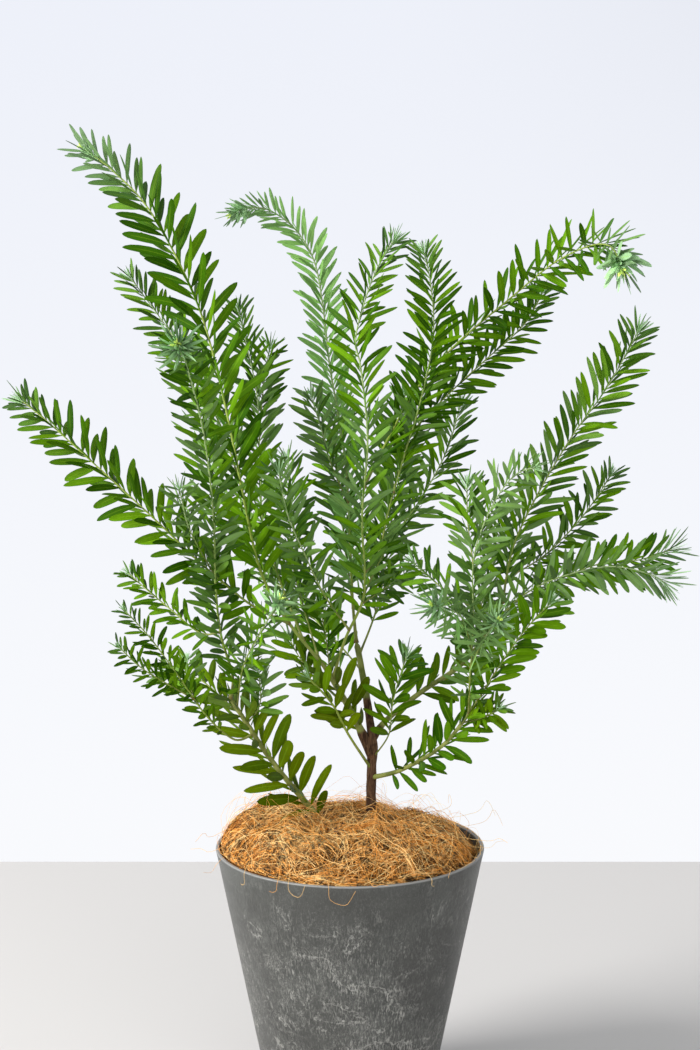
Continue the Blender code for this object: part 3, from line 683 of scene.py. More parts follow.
def stem_tube(route, sides, flare, bark, seed):
    """Corners of a stem's tube, with a collar at its base and its leaf nodes."""
    corners, notes = [], []
    name = route.stem.name
    pale = clamp(0.6 + 3.2 * route.stem.hue, 0.15)
    for i, (point, tangent, side) in enumerate(zip(route.points, route.tangents, route.sides)):
        share = i / route.last
        across = tangent.cross(side)
        distance = share * route.length
        reach = BARK_REACH.get(name, 0.0)
        swell = 1.0 + flare * math.exp(-max(0.0, distance - reach) / COLLAR_REACH)
        if name == "trunk":
            swell += sum(size * math.exp(-((point.z - height) / KNOT_REACH) ** 2)
                         for height, size in KNOTS)
        radius = route.radius(share) * swell * (0.35 if i == route.last else 1.0)
        note = (pale * share, wood_age(name, point.z, distance), distance)
        for turn in turns(sides):
            outward = math.cos(turn) * side + math.sin(turn) * across
            rough = noise.noise(Vector((*on_circle(3, turn), distance * 90 + seed)))
            corners.append(point + outward * radius * (1 + bark * rough))
            notes.append(note)
    return corners, notes


def wood_age(name, height, distance):
    """How woody a stem is at a place: 2 old bark, 1 olive wood, 0 this year's green."""
    if name == "trunk":
        return max(1.0, 2.0 - max(0.0, height - BARK_TOP) / 0.008)
    if name in WOODY:
        return max(1.0, 2.0 - max(0.0, distance - BARK_REACH.get(name, 0.0)) / 0.006)
    return math.exp(-distance / 0.05)


# Ways to turn, shorten and lean a leaf until it is free
NUDGES = ((0, 1, 0), (0.45, 1, 0), (-0.45, 1, 0), (0, 0.85, -0.2), (0.9, 0.95, 0.1),
          (-0.9, 0.95, 0.1), (0.3, 0.8, -0.35), (-0.3, 0.8, -0.35), (1.5, 0.85, 0),
          (-1.5, 0.85, 0), (2.2, 0.8, -0.2), (0.2, 0.6, -0.3), (-0.6, 0.55, -0.45))
# How many of the leaves before it on the same stem a leaf has to keep clear of
NEAR_LEAVES = 18

# Where along a shoot its leaves start to be younger, and closer together, and over what share
YOUNG_FROM, YOUNG_SPAN = 0.78, 0.22
CLOSE_FROM, CLOSE_SPAN = 0.80, 0.20


# Shoots that end in a dense brush of young leaves, and its size; the others end in a few needles
BRUSHES = {"shoot_high_left": 0.55, "shoot_high_right": 1.50, "shoot_near_left": 1.65,
           "shoot_near_front": 1.2, "shoot_silver_right": 1.2, "shoot_silver_left": 1.2,
           "shoot_arch": 0.95}
# Shoots that end in an open spray of thin needles
SPRAYS = ("shoot_out_right", "shoot_out_right_back")


def leaf_sizes(stem, share):
    """Blade length and youth at a share of the stem."""
    fullness = 0.82 + 0.28 * math.sin(math.pi / 2 * min(share * 1.6, 1.0))
    young = max(0.0, share - YOUNG_FROM) / YOUNG_SPAN
    brush = BRUSHES.get(stem.name, 0.0)
    if stem.name in SPRAYS:
        return stem.leaf * (fullness - 0.15 * young), young
    shorter = 0.25 if brush > 1 else 0.45
    return stem.leaf * (fullness - shorter * young), young * (1.0 if brush else 0.5)


def leaf_places(route, look):
    """Shares of the stem where its leaves stand, closer together near the tip."""
    stem = route.stem
    pitch = stem.leaf * look.leaf_pitch * stem.spacing * (1.2 if stem.name in WOODY else 1.0)
    places = []
    share = stem.bare
    while share < 0.995:
        places.append(share)
        tight = max(0.0, share - CLOSE_FROM) / CLOSE_SPAN
        share += pitch * (1 - 0.45 * tight) / route.length
    return places


def grow_leaves(route, shell, air, look, rng):
    """Set a stem's leaves in their spiral, each turned or shortened until it has free air."""
    stem = route.stem
    woody = stem.name in WOODY
    near = []
    turn = rng.uniform(0, math.tau)
    for share in leaf_places(route, look):
        turn += GOLDEN_TURN + rng.gauss(0, 0.12)
        point, tangent, side = route.at(share)
        length, young = leaf_sizes(stem, share)
        length *= rng.uniform(0.86, 1.10)
        low = 0.0 if woody else clamp((BROAD_TOP - point.z) / 0.12)
        slimness = look.leaf_slimness * min(1.35, 1 - min(0.0, stem.hue)) * (1 + 0.24 * low)
        slimness *= 1 - (0.72 if stem.name in SPRAYS else 0.30) * young
        width = length * slimness * rng.uniform(0.88, 1.14)
        angle = math.radians(rng.uniform(36, 54) - 14 * young)
        bend = math.radians(rng.uniform(0, 22) - 8 * young)
        twist = math.radians(rng.uniform(-26, 26))
        taper = 0.08 if stem.hue < -0.14 or stem.leaf > 0.035 else 0.24 * (1 - 0.6 * low)
        tone, odd = rng.random(), rng.random()
        if -0.3 < stem.hue < 0 and point.z > BROAD_TOP:
            tone *= 0.75
        hue = stem.hue
        if not woody:
            hue -= 0.45 * clamp((OLIVE_TOP - point.z) / 0.06)
        # The bloom is the leaves' real pale colour and also stands in for a painted sheen; it thins
        # out high up.
        bloom_and_sheen_share = clamp((BLOOM_AND_SHEEN_TOP - point.z) / 0.06, 0.25)
        bloom_and_painted_sheen = look.bloom_and_painted_sheen * bloom_and_sheen_share * rng.random() ** 0.7 if stem.hue > -0.06 else 0.0
        for nudge, size, lean in NUDGES:
            outward = (Matrix.Rotation(turn + nudge, 3, tangent) @ side).normalized()
            root = point + outward * route.radius(share) * 0.6
            leaf = Leaf(root, tangent, outward, length * size, width * size, angle + lean,
                        bend, twist, taper)
            strip = blade_strip(leaf)
            tree = BVHTree.FromPolygons(strip, STRIP_FACES)
            if air.is_free(tree, near[-NEAR_LEAVES:]):
                break
        else:
            continue
        near.append(tree)
        air.take(strip)
        corners, places = blade(leaf)
        shell.add(corners, BLADE_FACES, 0, blade=places,
                  leaf=(tone, hue + 0.24 * (odd - 0.5) + bloom_and_painted_sheen, young))

def grow_bud(route, shell, rng):
    """The young leaves at a shoot's tip, the innermost ones the shortest."""
    point, tangent, side = route.at(1.0)
    size = BRUSHES.get(route.stem.name, 0.0)
    count, spread, slim, depth = (34, 44, 0.27, 0.016) if size else (12, 24, 0.10, 0.006)
    if route.stem.name in SPRAYS:
        size, spread, slim, depth = 1.9, 34, 0.045, 0.012
    turn = rng.uniform(0, math.tau)
    for n in range(count):
        turn += GOLDEN_TURN
        outer = n / count
        outward = (Matrix.Rotation(turn, 3, tangent) @ side).normalized()
        length = route.stem.leaf * rng.uniform(0.85, 1.10) * (0.24 + 0.38 * outer) * (size or 1.0)
        leaf = Leaf(point - tangent * depth * outer, tangent, outward, length, length * slim,
                    math.radians(rng.uniform(4, 14) + spread * outer),
                    math.radians(rng.uniform(-8, 14)), 0.0, 0.2)
        corners, places = blade(leaf)
        # A youth over one marks a brush leaf, which the leaf finish brightens as painted light.
        youth = 2.0 if count > 12 and outer < 0.14 else 1.2
        shell.add(corners, BLADE_FACES, 0, blade=places, leaf=(rng.random(), 0.5, youth))


# ---------------------------------------------------------------- coir fibre

HEAP_CREST = 0.0195
# The mound falls to the right and to the back by these slopes, and stands up steeply on the left
HEAP_LEAN = 0.093
HEAP_REAR_FALL = 0.11
HEAP_DROP = 0.004
# The side on which the mulch has settled away from the wall, and how far
HEAP_GAP_BEARING = math.radians(22)
HEAP_GAP = 0.0145
HEAP_GAP_FROM = 0.70
# The mat's air to the wall, and how near to the wall a fibre has to be to go over the lip
WALL_CLEAR = 0.0008
LIP_FROM = 0.0006


def heap_height(x, y):
    """Height of the mulch's surface: a lumpy mound that falls to the inside of the lip."""
    share = min(math.hypot(x, y) / MOUTH_RADIUS, 1.0)
    lump = noise.noise(Vector((x * 24, y * 24, 3.1))) * 0.0100
    lump += noise.noise(Vector((x * 70, y * 70, 8.4))) * 0.0065
    crest = HEAP_CREST + lump - HEAP_LEAN * x - HEAP_REAR_FALL * max(y, 0.0)
    steep = 4 + 2.5 * max(0.0, -x / RIM_RADIUS)
    away = max(0.0, math.cos(math.atan2(y, x) - HEAP_GAP_BEARING)) ** 3
    gap = HEAP_GAP * away * max(0.0, (share - HEAP_GAP_FROM) / (1 - HEAP_GAP_FROM)) ** 1.3
    return RIM_HEIGHT + crest * (1 - share ** steep) ** 0.7 - HEAP_DROP * share ** 8 - gap


def inside_wall(x, y, height):
    """The place moved inwards, if need be, so that it stays inside the tapered wall."""
    taper = (RIM_RADIUS - BASE_RADIUS) / RIM_HEIGHT
    limit = MOUTH_RADIUS - WALL_CLEAR - taper * max(0.0, RIM_HEIGHT - height)
    out = math.hypot(x, y)
    return (x, y) if out <= limit else (x * limit / out, y * limit / out)


def somewhere(rng, reach):
    """A chance place on the heap, within reach of its middle."""
    turn = rng.uniform(0, math.tau)
    return on_circle(reach * math.sqrt(rng.random()), turn)


def flow(x, y):
    """The way the fibres lie at a place: they are combed into swirls."""
    return math.tau * (1.4 * noise.noise(Vector((x * 15, y * 15, 5.5)))
                       + 0.5 * noise.noise(Vector((x * 45, y * 45, 1.5))))


class Strands(Shell):
    """Fibres with the same number of steps, gathered into one mesh."""

    def __init__(self, steps, sides=3):
        super().__init__("fibre")
        self.steps = steps
        self.turns = turns(sides)
        self.tube = tube_faces(steps + 1, sides)

    def wander(self, rng, start, heading, curl, length, reach, arch, stray):
        """Points of a fibre that wanders over the heap and stands off it in one arc."""
        x, y = start
        points = []
        for i in range(self.steps + 1):
            out = math.hypot(x, y)
            if out > reach:
                x, y = x * reach / out, y * reach / out
                heading += 0.5
            lift = arch * math.sin(math.pi * i / self.steps) ** 1.2 + 0.0004
            height = heap_height(x, y) + lift
            if math.hypot(x, y) > MOUTH_RADIUS - LIP_FROM:
                points.append(Vector((x, y, max(height, RIM_HEIGHT + 0.0005))))
            else:
                points.append(Vector((*inside_wall(x, y, height), height)))
            heading += curl + rng.gauss(0, stray)
            x += length / self.steps * math.cos(heading)
            y += length / self.steps * math.sin(heading)
        return points

    def lay(self, points, radius, *looks):
        """Add a fibre along its points, thinner at both ends. Its looks are its tone, how faded it
        is and how much painted shade it gets between the others."""
        corners = []
        for i, (point, tangent, side) in enumerate(zip(points, *line_frame(points))):
            across = tangent.cross(side)
            swell = math.sin(math.pi * (0.08 + 0.84 * i / self.steps)) ** 0.4
            size = radius * (0.35 + 0.65 * swell)
            corners += [point + size * (math.cos(turn) * side + math.sin(turn) * across)
                        for turn in self.turns]
        self.add(corners, self.tube, 0, fibre=looks)


# Loops that hang over the lip: bearing in degrees, width, drop, share that comes back up
LOOPS = (
    (-116, 0.0140, 0.010, 0.95), (-99, 0.0205, 0.014, 0.80), (-121, -0.008, 0.010, 0.05),
    (-139, -0.006, 0.011, 0.05), (-55, 0.003, 0.006, 0.05), (34, 0.012, 0.010, 0.80),
    (75, 0.010, 0.014, 0.30), (118, 0.014, 0.009, 0.85), (160, 0.008, 0.012, 0.20),
)
# Fibres with a free end: bearing in degrees, reach beyond the lip, rise over it, sweep
FREE_ENDS = (
    (-166, 0.020, 0.003, -0.10), (-158, 0.024, -0.004, 0.14), (176, 0.016, 0.010, 0.12),
    (-14, 0.016, 0.006, 0.20), (-4, 0.020, 0.012, -0.16), (10, 0.022, 0.020, 0.12),
    (22, 0.012, 0.028, -0.20), (38, 0.016, 0.018, 0.18), (62, 0.012, 0.014, -0.14),
    (100, 0.014, 0.010, 0.16), (142, 0.018, 0.016, -0.12), (-84, 0.008, 0.003, 0.15),
    (-40, 0.010, 0.006, -0.18),
)


# ---------------------------------------------------------------- finishes

def composite_finish(look):
    """Stone-look composite: thin flakes with ragged pale hems, from which fine drips hang."""
    f = Finish("stone_composite")
    up = f.parts(f.place())[2]
    cloud = f.grain(16, 3, (1, 1, 0.8), 0.5, 0.6)
    sheet = f.grain(13, 4, (1, 1, 1.3), 0.55, 0.9)
    crumble = f.grain(170, 6, (1, 1, 0.7), 0.75, 0.8)
    comb = f.grain(900, 3, (1, 1, 0.10), 0.65, 0.4)
    stroke = f.grain(620, 5, (1, 1, 0.30), 0.75, 1.4)
    speck = f.grain(1500, 2, (1, 1, 0.6), 0.6)
    low_down = (up + (cloud - 0.5) * 0.05).ramp(0.130, RIM_HEIGHT - 0.004, 1.0, 0.20)
    shown = f.grain(17, 3, (1, 1, 0.7), 0.5, 0.3).ramp(0.35, 0.52)
    fall = sheet * 4.2 - up * 17.0 + (comb - 0.5) * 0.16 + (crumble - 0.5) * 0.50
    below = (fall + 9.0).maths("FRACT")
    hem = below.ramp(0.075, 0.0) * stroke.ramp(0.28, 0.50, 0.35, 1.0)
    drip = comb.ramp(0.45, 0.62) * below.ramp(0.45, 0.02)
    flake = below.ramp(0.35, 1.0) * stroke.ramp(0.44, 0.62)
    strokes = stroke.ramp(0.46, 0.66) * crumble.ramp(0.38, 0.60)
    combed = comb.ramp(0.44, 0.66) * cloud.ramp(0.38, 0.60)
    crack = abs(f.grain(80, 6, (1, 1, 0.75), 0.7, 1.1) - 0.5).ramp(0.020, 0.0)
    crack = crack * f.grain(26, 3).ramp(0.46, 0.60) * stroke.ramp(0.34, 0.50)
    chalk = (hem * 0.90 + drip * 0.52) * shown + flake * 0.32 + strokes * 0.50 + combed * 0.38
    chalk = (chalk + crack * 0.72) * low_down
    colour = f.mix(cloud.ramp(0.30, 0.70), look.body_dark, look.body_colour)
    smooth = below.ramp(0.0, 0.08) * below.ramp(0.60, 0.30) * shown
    texture = 0.04 + stroke * 0.90 + crumble * 0.55 + comb * 0.40
    colour = f.scaled(colour, (1.0 - smooth * 0.20) * texture)
    colour = f.mix(chalk.ramp(0.0, 1.1) * 0.95, colour, look.chalk_colour)
    colour = f.mix(speck.ramp(0.58, 0.78) * 0.25, colour, look.chalk_colour)
    lip = up.ramp(RIM_HEIGHT - 0.0016, RIM_HEIGHT - 0.0004)
    colour = f.mix(lip * 0.75, colour, look.lip_colour)
    height = speck * 0.2 + stroke * 0.35 + chalk * 1.6
    return f.finish(colour, 0.36 + chalk.ramp(0.0, 1.0) * 0.25, height, 0.0004, 0.50)


def soil_finish():
    """Damp potting soil."""
    f = Finish("potting_soil")
    crumb = f.grain(260, 6)
    colour = f.mix(crumb.ramp(0.35, 0.7), (0.012, 0.008, 0.005), (0.060, 0.038, 0.024))
    return f.finish(colour, 0.9, crumb, 0.0015, 0.3)


def heap_finish(look):
    """The matted fibre under the loose ones, mostly dark: painted shade in the gaps between tangled
    strands.
    """
    f = Finish("coir_mat")
    tangle = f.grain(210, 8, (1, 1, 1), 0.75, 2.2)
    cross = f.grain(120, 6, (1, 0.4, 1), 0.7, 3.0)
    mass = (tangle + cross) * 0.5
    # Painted shade: the heap is mostly the shade colour, standing in for the shadow under the
    # strands.
    colour = f.mix(mass.ramp(0.40, 0.66) * 0.38, look.shade_colour, look.fibre_colour)
    return f.finish(colour, 0.92, mass, 0.002, 0.2)


def fibre_finish(look):
    """Single coir fibres, from dark brown to straw gold, darkened in patches by painted shade in
    the hollows between them.
    """
    f = Finish("coir_strand")
    tone, fade, depth = f.note("fibre")
    patch = f.grain(700, 2)
    # Painted shade: patches where the fibres dip are darker, scaled by each fibre's shade share
    # (the note's third value).
    painted_hollow_shade = f.grain(230, 3, (1, 1, 1), 0.6, 0.6).ramp(0.40, 0.57, 0.88, 0.0) * depth
    colour = f.mix(tone.ramp(0.0, 0.45), look.shade_colour, look.fibre_colour)
    colour = f.mix(tone.ramp(0.45, 1.0), colour, look.gold_colour)
    colour = f.scaled(colour, (0.84 + patch * 0.4) * (1.0 - painted_hollow_shade))
    return f.finish(colour, 0.62 + fade * 0.2, None, specular=0.35)


def chip_finish():
    """Dark crumbs of bark."""
    f = Finish("bark_crumb")
    crumb = f.grain(600, 4)
    colour = f.mix(crumb.ramp(0.3, 0.7), (0.020, 0.012, 0.008), (0.090, 0.050, 0.026))
    return f.finish(colour, 0.85, crumb, 0.0005, 0.3)


def bark_finish(look):
    """Bark that goes from ridged brown at the foot over olive wood to smooth green shoots."""
    f = Finish("stem_bark")
    share, age, distance = f.note("stem")
    ridge = f.grain(420, 6, (1, 1, 0.22), 0.65, 0.6)
    blotch = f.grain(110, 4)
    brown = f.mix(ridge.ramp(0.35, 0.68), look.bark_dark, look.bark_light)
    olive = f.mix(blotch.ramp(0.35, 0.65), look.olive_colour, look.olive_light)
    green = f.mix(share.ramp(0.05, 0.75), look.green_stem, look.pale_stem)
    colour = f.mix(age.ramp(0.15, 0.95), green, olive)
    colour = f.mix((age + (blotch - 0.5) * 0.8).ramp(1.25, 1.75), colour, brown)
    colour = f.mix(distance.ramp(0.0035, 0.0008) * 0.6, colour, look.node_colour)
    rough = age.ramp(0.5, 2.0, 0.5, 0.85)
    return f.finish(colour, rough, ridge * age.ramp(0.5, 2.0, 0.1, 1.0), 0.0008, 0.25)


def leaf_finish(look):
    """Leathery leaf: a paler rib, a darker margin, mottling, and a tone of its own for each, with
    painted shade on old leaves out on the left, a painted glow on thin fresh leaves, a painted
    sheen with the bloom and painted light in the tip brushes.
    """
    f = Finish("acacia_leaf")
    across, along, painted_left_shade = f.note("blade")
    tone, hue, youth = f.note("leaf")
    mottle = f.grain(320, 4)
    colour = f.mix(tone.ramp(0.0, 1.0), look.deep_green, look.mid_green)
    colour = f.mix((-hue).ramp(0.1, 1.0) * 0.85, colour, look.olive_leaf)
    # Silver: the greyish colour of silvery shoots and of the bloom, the bloom partly a painted
    # sheen.
    colour = f.mix(hue.ramp(0.12, 0.70) * 0.85, colour, look.silver_leaf)
    # Painted glow: thin fresh leaves on the most silvery shoots are partly pale in their own
    # colour, partly brightened as if lit through from behind.
    colour = f.mix(hue.ramp(0.75, 1.15) * 0.85, colour, look.fresh_leaf_painted_glow)
    colour = f.mix(youth.ramp(0.10, 1.15) * 0.85, colour, look.young_leaf)
    colour = f.mix(youth.ramp(1.3, 1.9), colour, look.bud_leaf)
    rib = abs(across).ramp(0.18, 0.02) * along.ramp(0.98, 0.6)
    colour = f.mix(rib * 0.45, colour, look.rib_colour)
    margin = abs(across).ramp(0.80, 1.0)
    # Painted shade: old leaves far out on the left of the bush are darker; the darker margin is the
    # leaf's own colour.
    shade = painted_left_shade * youth.ramp(0.8, 0.0) * 0.20 + margin * 0.30
    # Painted light: leaves of a tip's brush (youth over one) are brightened to fill the shade they
    # cast on each other.
    light = (0.60 + mottle * 0.32 + tone * 0.54) * (1.0 + youth.ramp(1.05, 1.15) * 0.85)
    colour = f.scaled(colour, light * (1.0 - shade))
    vein = (across * 30.0).maths("SINE")
    rough = 0.40 + mottle * 0.22
    return f.finish(colour, rough, vein * 0.4 + mottle * 0.6, 0.00010, 0.06)


# ---------------------------------------------------------------- what a user may change

def colour_prop(name, text, value):
    """A colour property, in linear light."""
    return bpy.props.FloatVectorProperty(name=name, description=text, subtype="COLOR", size=3,
                                         min=0.0, max=1.0, default=value)


def number_prop(name, text, value, **more):
    """A number property."""
    return bpy.props.FloatProperty(name=name, description=text, default=value, **more)


def count_prop(name, text, value, least):
    """A property for a number of things."""
    return bpy.props.IntProperty(name=name, description=text, default=value, min=least)


class PlanterLook(bpy.types.PropertyGroup):
    """Sizes and colours of the planter."""
    lip_round: number_prop("Lip rounding", "Radius of the lip's round edges", 0.0012,
                           unit="LENGTH")
    body_colour: colour_prop("Body", "Grey of the composite", (0.071, 0.075, 0.068))
    body_dark: colour_prop("Body shade", "Darker clouds in the composite", (0.052, 0.053, 0.048))
    chalk_colour: colour_prop("Chalk", "Pale streaks and specks", (0.480, 0.475, 0.440))
    lip_colour: colour_prop("Lip", "Worn edge of the lip", (0.300, 0.300, 0.292))


class MulchLook(bpy.types.PropertyGroup):
    """Amount and colours of the coir."""
    strands: count_prop("Strands", "Fibres in each layer of the mat", 2300, 10)
    locks: count_prop("Locks", "Locks of fibre on top of the mat", 120, 1)
    strand_radius: number_prop("Strand radius", "Mean radius of a fibre", 0.00018,
                               unit="LENGTH", precision=5)
    shade_colour: colour_prop("Shade", "Brown between the strands", (0.036, 0.010, 0.0015))
    fibre_colour: colour_prop("Fibre", "Most of the fibre", (0.830, 0.345, 0.055))
    gold_colour: colour_prop("Gold", "Palest fibres", (1.0, 0.720, 0.310))


class WoodLook(bpy.types.PropertyGroup):
    """Colours of trunk, limbs and green stems."""
    bark_dark: colour_prop("Bark shade", "Furrows of the bark", (0.034, 0.014, 0.006))
    bark_light: colour_prop("Bark", "Ridges of the bark", (0.165, 0.090, 0.046))
    olive_colour: colour_prop("Olive wood", "Two-year wood", (0.150, 0.180, 0.035))
    olive_light: colour_prop("Olive light", "Lit side of two-year wood", (0.300, 0.330, 0.085))
    node_colour: colour_prop("Node", "Ring where a shoot leaves its parent", (0.170, 0.070, 0.030))
    green_stem: colour_prop("Green stem", "This year's wood", (0.260, 0.345, 0.050))
    pale_stem: colour_prop("Pale stem", "Youngest stems", (0.320, 0.430, 0.190))


class LeafLook(bpy.types.PropertyGroup):
    """Spacing, shape and colours of the leaves."""
    leaf_pitch: number_prop("Leaf pitch", "Stem length between leaves, as a share of a leaf",
                            0.073, precision=3, min=0.03)
    leaf_slimness: number_prop("Slimness", "Blade width over blade length", 0.160, min=0.05)
    # The bloom is partly a real pale colour, partly a painted sheen.
    bloom_and_painted_sheen: number_prop("Bloom", "How far the pale bloom on the leaves goes", 0.50,
                       subtype="FACTOR", min=0.0, max=1.0)
    deep_green: colour_prop("Deep green", "Darkest leaves", (0.036, 0.132, 0.0))
    mid_green: colour_prop("Green", "Most leaves", (0.118, 0.268, 0.002))
    olive_leaf: colour_prop("Olive leaf", "Oldest leaves, low on the plant", (0.120, 0.168, 0.0))
    silver_leaf: colour_prop("Silver leaf", "Greyish leaves with a bloom", (0.180, 0.305, 0.105))
    young_leaf: colour_prop("Young leaf", "Leaves at the tips", (0.228, 0.362, 0.200))
    # The fresh leaf colour is partly the paleness of thin fresh leaves, partly a painted glow of
    # light through them.
    fresh_leaf_painted_glow: colour_prop("Fresh leaf", "Thin light leaves that glow", (0.285, 0.560, 0.155))
    bud_leaf: colour_prop("Bud leaf", "Smallest leaves of a brush", (0.430, 0.540, 0.130))
    rib_colour: colour_prop("Rib", "Midrib", (0.190, 0.350, 0.014))


class StageLook(bpy.types.PropertyGroup):
    """The table top, the wall and the lamps."""
    table_colour: colour_prop("Table", "Pale table top", (0.620, 0.606, 0.600))
    wall_colour: colour_prop("Wall", "Pale wall behind", (0.850, 0.875, 0.950))
    wall_low_colour: colour_prop("Wall, low", "The wall just over the table", (0.955, 0.965, 0.990))
    key: number_prop("Key lamp", "Power of the large lamp on the left", 228.0, unit="POWER")
    fill: number_prop("Fill lamp", "Power of the lamp in front on the right", 18.0, unit="POWER")
    ambient: number_prop("Ambient", "Light that comes from all round", 0.63)


# ---------------------------------------------------------------- operators

class ACACIA_OT_stage(bpy.types.Operator):
    """Lay the table, light it softly and set up the camera"""
    bl_idname = "acacia.stage"
    bl_label = "Stage"

    TABLE_REACH = 3
    TABLE_EDGE = 0.602
    LAMP_AIM = Vector((0, 0, 0.35))
    CAMERA_PLACE = (0.0, -1.8485, 0.7786)
    CAMERA_TILT = 9.8
    LENS = 84.0
    SENSOR = 36.0

    def execute(self, context):
        look = context.scene.acacia_stage
        self.lay_table(look)
        self.light_room(look)
        self.hang_lamp("key_lamp", (-3.3, -1.35, 2.45), 1.9, look.key, (1.0, 0.985, 0.96))
        self.hang_lamp("fill_lamp", (0.9, -2.3, 0.9), 1.6, look.fill, (0.98, 0.99, 1.0))
        self.set_camera()
        context.scene.view_settings.view_transform = "Standard"
        return {"FINISHED"}

    def lay_table(self, look):
        """A plain table top that ends behind the pot."""
        bm = bmesh.new()
        side, back = self.TABLE_REACH, self.TABLE_EDGE
        corners = ((-side, -side, 0), (side, -side, 0), (side, back, 0), (-side, back, 0))
        bm.faces.new([bm.verts.new(corner) for corner in corners])
        paint = Finish("table_top").finish(tuple(look.table_colour), 0.6, specular=0.2)
        item = linked("table_top", bm, paint)

    def light_room(self, look):
        """Even light from all round; the wall's colour is what is seen behind the plant, with
        painted shade towards its top right.
        """
        world = bpy.data.worlds.new("room")
        bpy.context.scene.world = world
        world.use_nodes = True
        room = Nodes(world.node_tree)
        room.tree.nodes.clear()
        right, _, up = room.parts(room.wire("ShaderNodeTexCoord", "Generated"))
        values = {"Color": (0.97, 0.985, 1.0), "Strength": (1.0 - right * 0.50) * look.ambient}
        soft = room.wire("ShaderNodeBackground", 0, None, values)
        wall = room.mix(up.ramp(-0.38, 0.10), tuple(look.wall_low_colour), tuple(look.wall_colour))
        # Painted shade: the wall is darker towards its top right.
        wall = room.scaled(wall, 1.0 - right.ramp(0.0, 0.22) * up.ramp(-0.12, 0.10) * 0.09)
        wall = room.wire("ShaderNodeBackground", 0, None, {"Color": wall})
        path = room.node("ShaderNodeLightPath")
        seen = Wire(room, path.outputs["Is Camera Ray"])
        for name in ("Is Glossy Ray", "Is Transmission Ray"):
            seen = seen.maths("MAXIMUM", Wire(room, path.outputs[name]))
        both = room.wire("ShaderNodeMixShader", 0, None, {0: seen, 1: soft, 2: wall})
        room.node("ShaderNodeOutputWorld", None, {"Surface": both})

    def hang_lamp(self, name, place, size, power, colour):
        """A large square lamp that faces the plant."""
        data = bpy.data.lights.new(name, "AREA")
        data.shape = "SQUARE"
        data.size = size
        data.energy = power
        data.color = colour
        lamp = bpy.data.objects.new(name, data)
        lamp.location = place
        aim = self.LAMP_AIM - Vector(place)
        lamp.rotation_mode = "QUATERNION"
        lamp.rotation_quaternion = aim.to_track_quat("-Z", "Y")
        bpy.context.scene.collection.objects.link(lamp)

    def set_camera(self):
        """A long lens a little above the plant, tilted down."""
        data = bpy.data.cameras.new("camera")
        data.lens = self.LENS
        data.sensor_width = self.SENSOR
        camera = bpy.data.objects.new("camera", data)
        camera.location = self.CAMERA_PLACE
        camera.rotation_euler = (math.radians(90 - self.CAMERA_TILT), 0.0, 0.0)
        bpy.context.scene.collection.objects.link(camera)
        bpy.context.scene.camera = camera


class ACACIA_OT_planter(bpy.types.Operator):
    """Turn the planter with its rounded lip and drain holes"""
    bl_idname = "acacia.planter"
    bl_label = "Planter"

    SIDES = 192
    BANDS = 24
    INNER_BANDS = 6
    CURVE_STEPS = 5
    FOOT_ROUND = 0.002

    def execute(self, context):
        look = context.scene.acacia_planter
        bm = turned(self.profile(look.lip_round), self.SIDES)
        planter = linked("planter", bm, composite_finish(look))
        self.drill(planter)
        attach(planter, BODY)
        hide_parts("pot")
        return {"FINISHED"}

    def outer(self, height):
        """Radius of the outer wall at a height."""
        share = height / RIM_HEIGHT
        return BASE_RADIUS + (RIM_RADIUS - BASE_RADIUS) * share

    def profile(self, edge):
        """Outline from the middle of the base, up the wall, over the lip and down inside."""
        foot = self.FOOT_ROUND
        top = RIM_HEIGHT - edge
        points = [(0.0, 0.0)]
        points += self.arc(BASE_RADIUS - foot, foot, foot, -90, 0)
        for n in range(1, self.BANDS):
            height = 0.003 + (top - 0.004) * n / self.BANDS
            points.append((self.outer(height), height))
        points += self.arc(RIM_RADIUS - edge, top, edge, 0, 90)
        points += self.arc(MOUTH_RADIUS + edge, top, edge, 90, 180)
        for n in range(1, self.INNER_BANDS + 1):
            height = top - (top - FLOOR) * n / self.INNER_BANDS
            points.append((self.outer(height) - WALL, height))
        points.append((0.0, FLOOR))
        return points

    def arc(self, x, y, radius, start, end):
        """Points on a quarter turn of an outline."""
        points = []
        for k in range(self.CURVE_STEPS + 1):
            turn = math.radians(start + (end - start) * k / self.CURVE_STEPS)
            across, up = on_circle(radius, turn)
            points.append((x + across, y + up))
        return points

    def drill(self, planter):
        """Cut the drain holes and drop the tools."""
        for turn in DRAIN_TURNS:
            bm = bmesh.new()
            bmesh.ops.create_cone(bm, cap_ends=True, segments=40, radius1=DRAIN_RADIUS,
                                  radius2=DRAIN_RADIUS, depth=4 * FLOOR)
            place = (*on_circle(DRAIN_CIRCLE, turn), 0)
            bmesh.ops.translate(bm, verts=bm.verts, vec=place)
            tool = linked("drill", bm, planter.data.materials[0])
            cut = planter.modifiers.new("drain", "BOOLEAN")
            cut.operation = "DIFFERENCE"
            cut.object = tool
            bpy.context.view_layer.objects.active = planter
            bpy.ops.object.modifier_apply(modifier=cut.name)
            bpy.data.objects.remove(tool, do_unlink=True)


